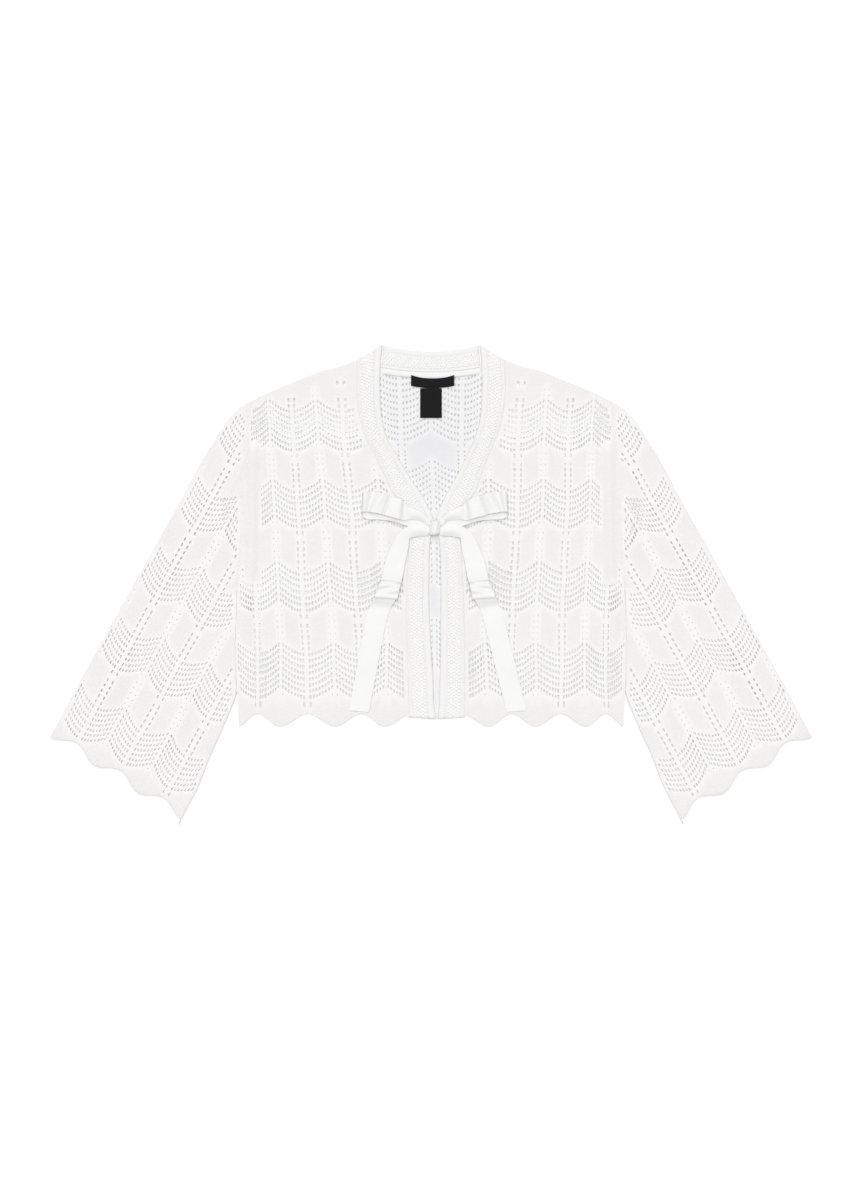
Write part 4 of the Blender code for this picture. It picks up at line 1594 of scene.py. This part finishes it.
@dataclass
class Sleeves:
    """The two sleeves, flattened tubes open at the cuff and at the armhole."""

    shop: Workshop
    ridges: tuple[Swell, ...] = (
        Swell(252.0, 140.0, 257.0, 35.0, 2.4, 11.0), Swell(330.0, -215.0, 300.0, -130.0, 1.8, 17.0),
        Swell(405.0, -150.0, 372.0, -70.0, 1.4, 18.0), Swell(345.0, -20.0, 300.0, 60.0, 0.9, 16.0),
        Swell(283.0, 120.0, 268.0, 40.0, 0.9, 13.0), Swell(268.0, -70.0, 262.0, -130.0, 1.0, 10.0),
    )
    swell: float = 0.6
    wall: float = 1.1
    # Upward faces below this height, the lower layer's inner face, get the painted shade finish.
    inner: float = 1.6

    def build(self) -> Pieces:
        """Make the sleeves, each given by its name."""
        return {f"sleeve_tube_{word}": self._sleeve(word, side) for word, side in SIDES}

    def _sleeve(self, word: str, side: float) -> Object:
        """Make a sleeve: an upper and a lower layer joined along the two folds."""
        name = f"sleeve_tube_{word}"
        cuff, inner, armhole, outer = SLEEVE.lines()
        outline = np.vstack([cuff, inner, armhole, outer]) * np.array([side, 1.0])
        count = len(outline)
        starts = np.cumsum([0, len(cuff), len(inner), len(armhole), len(outer)])
        folds = list(range(starts[1], starts[2] - 1)) + list(range(starts[3], starts[4] - 1))
        if side > 0:
            outline = outline[::-1]
            folds = [count - 2 - index for index in folds]
        ridges = [swell._replace(x0=side * swell.x0, x1=side * swell.x1) for swell in self.ridges]

        def surface(x: ndarray, y: ndarray) -> ndarray:
            swells = [1.0 + unevenness(u + 90.0, v, 60.0) for u, v in zip(x, y)]
            return SLEEVE.height + swell_height(ridges, x, y) + self.swell * np.array(swells) / 2

        upper_chart = SleeveChart(side=side, seed=21)
        lower_chart = SleeveChart(side=side, seed=22, shift_across=2.2, shift_along=3.1)
        upper = KnitPanel(name, outline, upper_chart, surface, edge_drop=0.5)
        lower = KnitPanel(
            name, outline, lower_chart, lambda x, y: np.zeros(np.shape(x)), edge_drop=-0.5
        )
        points, faces, corner, opening = upper.sheet()
        under_points, under_faces, under_corner, under_opening = lower.sheet()
        start = len(points)
        faces += [[start + index for index in face[::-1]] for face in under_faces]
        middle = start + len(under_points)
        rolled = self._rolled(outline, points[:count, 2], under_points[:count, 2])
        for index in folds:
            after = index + 1
            faces.append([index, middle + index, middle + after, after])
            faces.append([middle + index, start + index, start + after, middle + after])
        points = np.vstack([points, under_points, rolled])
        corner = np.concatenate([corner, under_corner, np.zeros(count)])
        opening = np.concatenate([opening, under_opening, np.zeros(2 * len(folds))])
        palette = self.shop.palette
        sheet = points, faces, corner, opening
        item = knit_object(self.shop, upper, sheet, self.wall, palette.knit)
        # Painted shade on the lower layer's inner face, inside the tube.
        dress_faces(item, palette.painted_shade_knit, 1.0, lambda places: places[:, 2] < self.inner)
        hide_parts(f"sleeve_{word}")
        declare(item)
        return item

    @staticmethod
    def _rolled(outline: ndarray, top: ndarray, foot: ndarray) -> ndarray:
        """The line round the middle of the folds, a little outside the layers' edges."""
        return np.column_stack([outline + 0.6 * outward(outline), (top + foot) / 2.0])


@dataclass
class Bands:
    """The doubled bands down the fronts and across the back of the neck."""

    shop: Workshop
    wall: float = 2.4
    stations: tuple[Station, ...] = (
        Station(92.5, 280.4, 61.0, 299.4), Station(92.5, 262.0, 63.5, 270.6),
        Station(92.5, 232.0, 63.5, 235.0), Station(86.5, 199.0, 61.0, 206.0),
        Station(80.0, 180.6, 54.0, 181.0), Station(69.0, 157.0, 44.0, 162.0),
        Station(60.5, 137.0, 34.0, 143.0), Station(52.5, 117.0, 23.0, 124.4),
        Station(42.5, 103.0, 13.0, 108.0), Station(36.0, 84.0, 3.2, 86.0),
        Station(32.5, 58.0, 3.8, 66.0), Station(33.0, 40.0, 6.5, 44.0),
        Station(36.0, -18.0, 7.4, -16.0), Station(36.0, -69.0, 6.2, -69.0),
        Station(35.5, -120.0, 4.2, -120.0), Station(34.8, -150.0, 3.4, -150.0),
        Station(34.5, -166.0, 0.9, -168.0),
    )
    profile: tuple[Pair, ...] = (
        (0.0, -0.4), (0.02, -0.15), (0.06, 0.0), (0.1, -0.1), (0.13, -0.5), (0.17, -0.1),
        (0.22, 0.05), (0.34, 0.1), (0.45, 0.15), (0.57, 0.1), (0.67, 0.05), (0.71, -0.15),
        (0.74, -0.5), (0.77, 0.0), (0.82, 0.3), (0.88, 0.42), (0.93, 0.3), (0.97, 0.05),
        (1.0, -0.35),
    )
    rib_span: Pair = (0.18, 0.7)
    rib_columns: int = 5
    rib_pitch: float = 4.2
    stitch_size: Triple = (3.6, 1.6, 1.25)
    stitch_lean: float = 0.5

    def seam(self) -> ndarray:
        """The seam between a band and its front, from the shoulder to the hem."""
        outer = [(row.outer_x + PATTERN.gap, row.outer_y) for row in self.stations]
        return smooth_line(outer, 6.0)

    def build(self) -> Pieces:
        """Make the bands and their stitches, each given by its name."""
        pieces = {}
        for word, side in SIDES:
            lines = smooth_line(self.stations, 4.0)
            outer = np.column_stack([side * lines[:, 0] + PATTERN.centre_line(lines[:, 1]), lines[:, 1]])
            inner = np.column_stack([side * lines[:, 2] + PATTERN.centre_line(lines[:, 3]), lines[:, 3]])
            base = PATTERN.wall + PATTERN.gap
            self._band(pieces, f"front_band_{word}", f"band_{word}", outer, inner, base)
        shares = np.linspace(-1.0, 1.0, 41)
        foot, top = (
            np.column_stack([half * shares, middle + (side_y - middle) * shares**2])
            for half, side_y, middle in (PATTERN.neck_foot, PATTERN.neck_top)
        )
        self._band(pieces, "neck_band", "band_neck", foot, top, 0.0)
        return pieces

    def _band(
        self,
        pieces: Pieces,
        name: str,
        node: str,
        outer: ndarray,
        inner: ndarray,
        base: float,
    ) -> None:
        """Make one band between its two edges, with its ribbing.

        Args:
            pieces: Where the new pieces go, by name.
            name: The band's name.
            node: The solid that it replaces.
            outer: The points of the edge that is sewn to the panel.
            inner: The points of the free edge, in the same order.
            base: The height of its underside, in millimetres.
        """
        across = np.array([row[0] for row in self.profile])
        rise = np.array([row[1] for row in self.profile])
        grid = outer[:, None, :] + (inner - outer)[:, None, :] * across[None, :, None]
        top = np.broadcast_to(base + self.wall + rise, grid.shape[:2])
        low = np.full(grid.shape[:2], base)
        low[:, 0] += 0.2
        low[:, -1] += 0.2
        item = closed_wall(name, grid, low, top, self.shop.palette.band)
        run = run_of(outer)
        strip_map(item.data, grid, run, float(np.linalg.norm(inner[0] - outer[0])))
        ribs = self._ribs(name + "_ribbing", outer, inner, base + self.wall)
        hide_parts(node)
        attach(ribs, BODY)
        declare_strip(item)
        pieces[name] = item
        pieces[ribs.name] = ribs

    def _ribs(self, name: str, outer: ndarray, inner: ndarray, height: float) -> Object:
        """Lay the band's columns of small V stitches."""
        middle = (outer + inner) / 2.0
        run = run_of(middle)
        points, along = [], []
        low, high = self.rib_span
        pitch = (high - low) / self.rib_columns
        for row in range(int(run[-1] / self.rib_pitch)):
            for column in range(self.rib_columns):
                shift = 0.5 if column % 2 else 0.0
                where = (row + 0.5 + shift) * self.rib_pitch
                if where > run[-1] - 1.5:
                    continue
                a, b = (point_at(where, run, edge) for edge in (outer, inner))
                ahead, back = (point_at(where + reach, run, middle) for reach in (2.0, -2.0))
                forward = (ahead - back) / max(float(np.linalg.norm(ahead - back)), 1e-9)
                sideways = (b - a) / float(np.linalg.norm(b - a))
                centre = a + (b - a) * (low + (column + 0.5) * pitch)
                for lean in (-1.0, 1.0):
                    spot = centre + sideways * lean * 0.95
                    points.append((*spot, height + 0.02))
                    direction = forward - sideways * lean * self.stitch_lean
                    along.append((*direction, 0.0))
        return self.shop.stitches.lay(
            name, np.array(points), np.array(along), self.stitch_size, self.shop.palette.band
        )


def closed_wall(
    name: str, grid: ndarray, low: ndarray, top: ndarray, material: Material
) -> Object:
    """Make a closed wall over a grid of places.

    Args:
        name: The piece's name.
        grid: Rows of places, x and y in millimetres.
        low: The height of the underside at each place.
        top: The height of the face.
        material: The finish.

    Returns:
        The piece, facing out.
    """
    rows, width = grid.shape[:2]
    points = np.vstack([np.dstack([grid, height]).reshape(-1, 3) for height in (top, low)])
    start = rows * width
    quads = grid_quads(rows, width)
    a, b, c = (points[quads[0, k], :2] for k in range(3))
    if (b[0] - a[0]) * (c[1] - a[1]) - (b[1] - a[1]) * (c[0] - a[0]) < 0:
        quads = quads[:, ::-1]
    faces = quads.tolist() + (quads[:, ::-1] + start).tolist()
    directed = {(face[k], face[(k + 1) % 4]) for face in quads.tolist() for k in range(4)}
    for first, second in directed:
        if (second, first) not in directed:
            faces.append([second, first, start + first, start + second])
    mesh = bpy.data.meshes.new(name)
    mesh.from_pydata((points * MM).tolist(), [], faces)
    mesh.materials.append(material)
    mesh.shade_smooth()
    return linked(name, mesh)


def strip_map(mesh: Mesh, grid: ndarray, run: ndarray, width: float) -> None:
    """Map a strip across and along itself, for a mesh made from a grid by closed_wall()."""
    rows, columns = grid.shape[:2]
    across = np.linspace(0.0, width, columns)
    u = np.tile(np.tile(across, rows), 2) * MM
    v = np.tile(np.repeat(run, columns), 2) * MM
    write_map(mesh, u, v)


def declare_strip(
    item: Object,
) -> None:
    """Attach a strip of cloth to the body.

    Args:
        item: The piece.
    """
    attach(item, BODY)


@dataclass
class NeckTrim:
    """The seam tape across the back neck, and the bare label and tab under it."""

    shop: Workshop
    base: float = 2.15
    wall: float = 0.7
    tape_half: float = 61.3
    tape_width: float = 7.4
    tape_drop: float = 0.15
    gap: float = 0.06
    label_half: float = 27.0
    label_bow: float = 3.4
    label_height: float = 12.0
    tab_width: float = 27.0
    tab_foot: float = 208.0

    def build(self) -> Pieces:
        """Make the tape, the label and the tab, each given by its name."""
        palette = self.shop.palette
        tape = self.tape_drop, self.tape_drop + self.tape_width
        label_top = tape[1] + self.gap + 0.6
        label = label_top, label_top + self.label_height
        pieces = {
            name: self._strip(name, *values)
            for name, *values in (
                ("neck_seam_tape", "neck_tape", self.tape_half, tape, 0.0, palette.tape),
                ("bare_label", "neck_label", self.label_half, label, self.label_bow, palette.label),
            )
        }
        pieces["bare_tab"] = self._tab(PATTERN.neck_foot[2] - label[1] - self.gap)
        return pieces

    def _strip(
        self, name: str, node: str, half: float, drops: Pair, bow: float, material: Material
    ) -> Object:
        """Make a strip that follows the back neck, its ends curled up by a bow."""
        top, foot = drops
        neck_half, side_y, middle_y = PATTERN.neck_foot
        x = np.linspace(-half, half, 41)
        seam = middle_y + (side_y - middle_y) * (x / neck_half) ** 2
        curl = bow * (x / half) ** 2
        across = np.array([0.0, 0.04, 0.5, 0.96, 1.0])
        rise = np.array([-0.25, 0.0, 0.05, 0.0, -0.25])
        grid = np.empty((len(x), len(across), 2))
        grid[:, :, 0] = x[:, None] + 0.6 * bow
        reach = foot - top + 0.45 * curl
        grid[:, :, 1] = (seam - foot + 0.55 * curl)[:, None] + reach[:, None] * across[None, :]
        lifted = 0.2 * curl[:, None] + np.zeros(grid.shape[:2])
        height = self.base + self.wall + rise + lifted
        item = closed_wall(name, grid, self.base + lifted, height, material)
        item.data.set_sharp_from_angle(angle=SHARP)
        strip_map(item.data, grid, x + half, foot - top)
        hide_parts(node)
        declare(item)
        return item

    def _tab(self, top: float) -> Object:
        """Make the bare tab, slightly curled at its free end."""
        y = np.linspace(top, self.tab_foot, 17)
        x = np.linspace(-self.tab_width / 2.0, self.tab_width / 2.0, 9)
        grid = np.stack(np.meshgrid(y, x, indexing="ij")[::-1], axis=-1)
        curl = np.interp(y, [self.tab_foot, self.tab_foot + 12.0], [0.9, 0.0])[:, None]
        edge = np.where(np.abs(np.linspace(-1.0, 1.0, len(x))) > 0.99, -0.2, 0.0)[None, :]
        height = self.base + self.wall + curl + edge
        low = np.broadcast_to(self.base + curl, height.shape)
        item = closed_wall("bare_tab", grid, low, height, self.shop.palette.label)
        item.data.set_sharp_from_angle(angle=SHARP)
        strip_map(item.data, grid, top - y, self.tab_width)
        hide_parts("size_tab")
        declare(item)
        return item


class Fold(NamedTuple):
    """A line across the ribbon, measured outward and up from the knot, in millimetres."""

    a_out: float
    a_up: float
    b_out: float
    b_up: float
    z_a: float
    z_b: float
    bow: float


@dataclass
class Bow:
    """The satin ribbon bow: a knot, two loops and two free tails."""

    shop: Workshop
    centre: Place = Place(5.0, 71.9)
    wall: float = 0.6
    across: int = 14
    loop: tuple[Fold, ...] = (
        Fold(5.5, 8.8, 7.0, 1.0, 9.6, 8.8, 0.0),
        Fold(9.0, 11.6, 10.5, 3.2, 9.4, 9.8, 0.3),
        Fold(13.0, 14.6, 14.0, 5.4, 10.6, 8.2, 0.8),
        Fold(19.0, 18.8, 19.0, 7.4, 11.0, 8.2, 0.9),
        Fold(27.0, 22.6, 27.0, 9.0, 10.7, 8.6, 1.0),
        Fold(34.0, 26.4, 34.0, 8.8, 9.8, 9.0, 0.8),
        Fold(36.5, 29.2, 37.5, 8.2, 8.9, 9.0, 0.4),
        Fold(39.0, 32.2, 41.0, 8.5, 9.6, 9.9, 0.2),
        Fold(41.5, 33.5, 45.0, 9.6, 12.0, 11.9, 0.2),
        Fold(46.0, 35.2, 51.5, 11.4, 12.6, 12.4, 0.5),
        Fold(52.0, 37.2, 59.0, 13.4, 12.3, 12.1, 0.4),
        Fold(55.0, 38.1, 63.4, 14.7, 11.8, 11.8, 0.0),
        Fold(56.3, 38.6, 65.0, 15.2, 9.9, 10.0, 0.0),
        Fold(57.8, 39.1, 66.8, 15.7, 11.6, 11.6, 0.0),
        Fold(61.0, 40.4, 72.0, 16.8, 12.6, 12.4, 0.1),
        Fold(64.0, 41.7, 79.5, 18.0, 13.1, 12.9, 0.2),
        Fold(69.0, 42.8, 81.8, 18.3, 11.7, 12.3, 0.0),
        Fold(74.0, 43.4, 83.3, 18.5, 9.7, 11.0, 0.0),
        Fold(78.5, 43.8, 84.6, 18.6, 9.5, 10.2, 0.0),
        Fold(82.5, 44.0, 86.0, 18.7, 11.4, 11.5, 0.0),
        Fold(86.0, 44.0, 88.0, 18.7, 12.5, 12.1, 0.2),
        Fold(88.8, 43.5, 89.9, 18.6, 11.6, 11.2, 0.1),
        Fold(89.6, 42.0, 90.5, 17.6, 9.8, 9.5, 0.0),
        Fold(88.6, 39.5, 89.4, 12.4, 7.8, 7.4, 0.0),
        Fold(82.0, 37.0, 82.0, 9.4, 7.2, 6.9, 0.0),
        Fold(68.0, 35.0, 68.0, 8.9, 7.0, 6.8, 0.2),
        Fold(52.0, 30.0, 51.0, 6.6, 6.9, 6.7, 0.3),
        Fold(34.0, 20.0, 33.0, 0.6, 6.9, 6.6, 0.4),
        Fold(19.0, 14.0, 18.0, -2.0, 7.1, 6.8, 0.4),
        Fold(8.0, 8.0, 8.0, -3.5, 7.4, 7.0, 0.0),
    )
    tail: tuple[Fold, ...] = (
        Fold(6.0, 0.0, 6.0, -9.6, 7.0, 6.4, 0.0),
        Fold(9.0, 0.8, 9.5, -10.6, 7.2, 6.0, 0.9),
        Fold(14.0, 1.5, 14.0, -11.4, 7.5, 5.6, 1.5),
        Fold(25.0, 1.9, 24.0, -12.2, 7.5, 6.3, 1.3),
        Fold(37.0, -1.0, 31.0, -13.8, 7.0, 6.7, 0.9),
        Fold(46.0, -9.0, 32.6, -17.4, 6.6, 6.6, 0.7),
        Fold(52.5, -20.0, 33.0, -24.0, 6.4, 6.4, 0.6),
        Fold(58.0, -33.0, 35.6, -37.0, 6.3, 6.3, 0.5),
        Fold(62.0, -44.0, 38.0, -48.0, 6.4, 6.4, 0.4),
        Fold(64.5, -54.5, 39.6, -57.5, 8.2, 8.0, 0.1),
        Fold(66.0, -62.5, 41.0, -65.0, 10.4, 10.0, -0.1),
        Fold(67.0, -66.0, 41.8, -67.6, 11.7, 11.3, -0.3),
        Fold(67.6, -68.2, 42.4, -69.0, 9.6, 11.8, -0.6),
        Fold(68.6, -70.6, 43.0, -70.8, 11.2, 9.6, 0.7),
        Fold(70.2, -73.4, 43.4, -73.8, 12.0, 9.4, 0.5),
        Fold(72.0, -77.0, 44.0, -76.4, 11.4, 11.8, -1.3),
        Fold(73.2, -80.4, 44.8, -79.6, 10.0, 12.0, 0.6),
        Fold(74.0, -84.0, 45.8, -84.4, 10.9, 9.9, 0.9),
        Fold(74.6, -86.8, 46.6, -88.2, 11.4, 11.0, 0.2),
        Fold(75.4, -88.6, 47.4, -90.2, 10.4, 10.0, 0.1),
        Fold(75.2, -88.0, 47.6, -89.8, 9.2, 9.0, 0.0),
        Fold(74.0, -84.5, 47.6, -86.2, 8.6, 8.5, 0.0),
        Fold(73.6, -82.8, 47.8, -84.6, 8.1, 8.0, 0.0),
        Fold(74.6, -86.0, 48.2, -88.2, 7.9, 7.8, 0.0),
        Fold(76.8, -91.0, 50.4, -93.2, 7.4, 7.3, 0.1),
        Fold(79.8, -96.4, 53.6, -98.6, 5.4, 5.4, 0.2),
        Fold(82.4, -101.5, 56.4, -103.6, 4.6, 4.6, 0.4),
        Fold(87.0, -118.0, 61.4, -119.5, 4.8, 4.8, 0.6),
    )
    tail_feet: tuple[tuple[str, float, Fold], ...] = (
        ("left", -1.0, Fold(107.6, -229.0, 82.4, -231.0, 4.7, 4.7, 0.3)),
        ("right", 1.0, Fold(114.2, -229.0, 89.4, -231.0, 4.7, 4.7, 0.3)),
    )
    knot_base: float = 4.9
    knot_size: Triple = (16.4, 19.0, 7.4)

    def build(self) -> Pieces:
        """Make the knot, the loops and the tails, each given by its name."""
        pieces = {"ribbon_knot": self._knot()}
        for word, side, foot in self.tail_feet:
            pieces[f"ribbon_loop_{word}"] = self._ribbon(
                f"ribbon_loop_{word}", f"bow_loop_{word}", side, self.loop, 1.5
            )
            straight = []
            for index, share in enumerate((0.25, 0.5, 0.75, 1.0)):
                fold = Fold(*(a + (b - a) * share for a, b in zip(self.tail[-1], foot)))
                straight.append(fold._replace(z_a=fold.z_a + 0.4 * math.sin(2.1 * index)))
            pieces[f"ribbon_end_{word}"] = self._ribbon(
                f"ribbon_end_{word}", f"ribbon_tail_{word}", side, [*self.tail, *straight], 1.6
            )
        return pieces

    def _ribbon(
        self, name: str, node: str, side: float, folds: Sequence[Fold], step: float
    ) -> Object:
        """Make a stretch of ribbon through its folds.

        Args:
            name: The piece's name.
            node: The solid that it replaces.
            side: 1 for the half at +X, -1 for the other.
            folds: The lines across it, in order along it.
            step: The spacing of its rows, in millimetres.

        Returns:
            The piece, a plain mesh.
        """
        lines = smooth_line(folds, step)
        share = np.linspace(0.0, 1.0, self.across + 1)[None, :]
        out = lines[:, 0, None] + (lines[:, 2] - lines[:, 0])[:, None] * share
        up = lines[:, 1, None] + (lines[:, 3] - lines[:, 1])[:, None] * share
        height = lines[:, 4, None] + (lines[:, 5] - lines[:, 4])[:, None] * share
        height = height + lines[:, 6, None] * np.sin(share * math.pi)
        x = self.centre.x + side * out
        y = self.centre.y + up
        points = np.stack([x, y, height], axis=-1)
        rows, width = x.shape
        quads = grid_quads(rows, width)
        if side < 0:
            quads = quads[:, ::-1]
        mesh = bpy.data.meshes.new(name)
        mesh.from_pydata((points.reshape(-1, 3) * MM).tolist(), [], quads.tolist())
        mesh.materials.append(self.shop.palette.satin)
        middle = points[:, width // 2]
        run = run_of(middle)
        breadth = float(np.mean(np.linalg.norm(points[:, 0] - points[:, -1], axis=1)))
        write_map(mesh, np.tile(share[0] * breadth, rows) * MM, np.repeat(run, width) * MM)
        item = linked(name, mesh)
        mesh.shade_smooth()
        solidified(item, self.wall, offset=0.0)
        make_plain(item)
        item.data.shade_smooth()
        item.data.set_sharp_from_angle(angle=SHARP)
        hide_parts(node)
        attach(item, BODY)
        return item

    @staticmethod
    def _area(points: ndarray) -> float:
        """Area of a grid of points, in square metres."""
        a, b, c, d = points[:-1, :-1], points[1:, :-1], points[1:, 1:], points[:-1, 1:]
        cross = np.cross(c - a, d - b)
        return float(np.linalg.norm(cross, axis=-1).sum()) / 2.0 * MM * MM

    def _knot(self) -> Object:
        """Make the knot: a slanted wrap over the gathers on its two sides."""
        half_x, half_y, tall = self.knot_size[0] / 2.0, self.knot_size[1] / 2.0, self.knot_size[2]
        u, t = np.meshgrid(np.linspace(-1.0, 1.0, 41), np.linspace(-1.0, 1.0, 29))
        x = self.centre.x - 0.4 + half_x * u * (1.0 - 0.16 * (1.0 - t * t)) + 1.2 * t
        y = self.centre.y - 1.4 + half_y * t * (1.0 - 0.26 * np.abs(u) ** 1.5)
        wrap = np.clip(1.0 - (np.abs(u + 0.04) / 0.66) ** 7, 0.0, 1.0) ** 0.5
        roll = np.clip(1.0 - np.abs(t) ** 4, 0.0, 1.0) ** 0.5
        side_crease = np.exp(-(((u - 0.25 * t + 0.26) / 0.08) ** 2))
        slant_crease = np.exp(-(((u + 0.7 * t - 0.55) / 0.1) ** 2)) * (t > 0.1)
        strip = wrap * (1.0 - 0.07 * side_crease - 0.05 * slant_crease)
        fan = np.cos(10.0 * np.arctan2(t, np.abs(u) + 0.3))
        outer = np.clip((np.abs(u) - 0.55) / 0.45, 0.0, 1.0)
        gathers = (0.74 + 0.05 * fan) * (1.0 - 0.4 * outer**2)
        top = self.knot_base + tall * np.maximum(strip, gathers) * (0.55 + 0.45 * roll)
        low = np.full(top.shape, self.knot_base)
        item = closed_wall("ribbon_knot", np.dstack([x, y]), low, top, self.shop.palette.satin)
        flat_map(item.data, lambda x, y: (x, y))
        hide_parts("bow_knot")
        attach(item, BODY)
        return item


@dataclass
class Sewing:
    """Seams and knitted edges, laid as chains of stitches."""

    shop: Workshop
    band_seam: ndarray
    pitch: float = 2.6
    size: Triple = (3.6, 1.3, 0.9)

    def build(self) -> Pieces:
        """Lay the hem, cuff, shoulder, side and band seams, each given by its name."""
        pieces = {}
        front = PATTERN.wall * 2.0 + PATTERN.gap
        side_line, armhole, shoulder = PATTERN.edge()
        for word, side in SIDES:
            hem = PATTERN.hem(1.0, 0.0)
            hem = hem[hem[:, 0] > self.band_seam[-1][0] + 1.2]
            runs = {
                "hem": (PATTERN.placed(hem[:, 0], hem[:, 1], side), front - 1.1),
                "band": (
                    PATTERN.placed(self.band_seam[:, 0], self.band_seam[:, 1], side), front + 0.1
                ),
                "shoulder": (shoulder * np.array([side, 1.0]), 1.9),
                "armhole": (armhole * np.array([side, 1.0]), front + 0.05),
                "side": (side_line * np.array([side, 1.0]), 1.9),
                "cuff": (SLEEVE.cuff() * np.array([side, 1.0]), SLEEVE.height - 1.1),
            }
            for kind, (line, height) in runs.items():
                piece = self._chain(f"{kind}_stitches_{word}", line, height)
                pieces[piece.name] = piece
        right = PATTERN.hem(0.0, PATTERN.back_rise)
        whole = np.vstack([right[::-1] * np.array([-1.0, 1.0]), right[1:]])
        piece = self._chain("hem_stitches_back", whole, PATTERN.wall - 0.6)
        pieces[piece.name] = piece
        return pieces

    def _chain(self, name: str, line: ndarray, height: float) -> Object:
        """Lay a chain of stitches on a line at a height."""
        run = run_of(line)
        where = np.arange(self.pitch / 2.0, run[-1] - self.pitch / 2.0, self.pitch)
        ahead, back = (point_at(where + reach, run, line) for reach in (1.0, -1.0))
        along = np.column_stack([ahead - back, np.zeros(len(where))])
        points = np.column_stack([point_at(where, run, line), np.full(len(where), height)])
        item = self.shop.stitches.lay(name, points, along, self.size, self.shop.palette.yarn)
        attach(item, BODY)
        return item


@dataclass
class Stage:
    """The pale floor, the soft light and the camera straight above."""

    width_pixels: int = 857
    height_pixels: int = 1200
    pixel: float = 1.25
    origin_pixel: Pair = (431.0, 584.5)
    distance: float = 3.0
    sensor: float = 36.0
    sky: float = 0.36
    suns: tuple[tuple[str, Triple, float, float], ...] = (
        ("overhead", (0.0, 0.1, 1.0), 36.0, 1.78), ("key", (-0.25, 1.0, 1.1), 35.0, 0.52)
    )

    def build(self) -> None:
        """Set the floor, the light and the camera."""
        self._floor()
        self._light()
        self._camera()

    def _floor(self) -> None:
        """Lay a pale floor just under the cardigan."""
        half = 4.0
        for name, tone, glow, box, depth in (
            ("floor", 0.6, 0.42, (-half, -half, half, half), -0.0002),
            ("shaded_floor", 0.66, 0.0, (-0.075, -0.15, 0.085, 0.262), -0.0001),
        ):
            left, foot, right, head = box
            corners = [(left, foot), (right, foot), (right, head), (left, head)]
            mesh = bpy.data.meshes.new(name)
            mesh.from_pydata([(x, y, depth) for x, y in corners], [], [(0, 1, 2, 3)])
            self._paper(mesh, tone, glow)
            linked(name, mesh)

    @staticmethod
    def _paper(mesh: Mesh, tone: float, glow: float) -> None:
        """Give a stretch of the floor its tone, and the glow of a light table."""
        material, bench, _ = principled(mesh.name + "_paper")
        shade(
            bench,
            {
                "Base Color": (tone, tone, tone, 1.0),
                "Emission Color": (1.0, 1.0, 1.0, 1.0),
                "Emission Strength": glow,
                "Roughness": 0.9,
                "Specular IOR Level": 0.1,
            },
        )
        mesh.materials.append(material)

    def _light(self) -> None:
        """Light it softly from above, a little more from beyond the neck."""
        world = bpy.data.worlds.new("studio")
        world.use_nodes = True
        background = world.node_tree.nodes["Background"]
        background.inputs["Color"].default_value = (1.0, 1.0, 1.0, 1.0)
        background.inputs["Strength"].default_value = self.sky
        bpy.context.scene.world = world
        for name, away, spread, strength in self.suns:
            lamp = bpy.data.lights.new(name, "SUN")
            lamp.angle = math.radians(spread)
            lamp.energy = strength
            turned = Vector(away).to_track_quat("Z", "Y").to_euler()
            linked(name, lamp).rotation_euler = turned

    def _camera(self) -> None:
        """Put the camera straight above, framed as the picture is."""
        camera = bpy.data.cameras.new("camera")
        camera.sensor_fit = "HORIZONTAL"
        camera.sensor_width = self.sensor
        camera.lens = self.sensor * self.distance / (self.width_pixels * self.pixel * MM)
        camera.dof.use_dof = False
        item = linked("camera", camera)
        x = (self.width_pixels / 2.0 - self.origin_pixel[0]) * self.pixel * MM
        y = (self.origin_pixel[1] - self.height_pixels / 2.0) * self.pixel * MM
        item.location = (x, y, self.distance)
        bpy.context.scene.camera = item
        bpy.context.scene.view_settings.view_transform = "Standard"


def main() -> None:
    """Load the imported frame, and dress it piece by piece."""
    logging.basicConfig(level=logging.INFO, format="%(name)s: %(message)s")
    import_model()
    Stage().build()
    shop = Workshop(Palette(), Eyelets(), Stitches())
    bands = Bands(shop)
    seam = bands.seam()
    for assembly in (
        Body(shop, seam), Sleeves(shop), bands, NeckTrim(shop), Bow(shop), Sewing(shop, seam)
    ):
        for name, piece in assembly.build().items():
            LOG.info("%s: %d faces", name, len(piece.data.polygons))


if __name__ == "__main__":
    main()
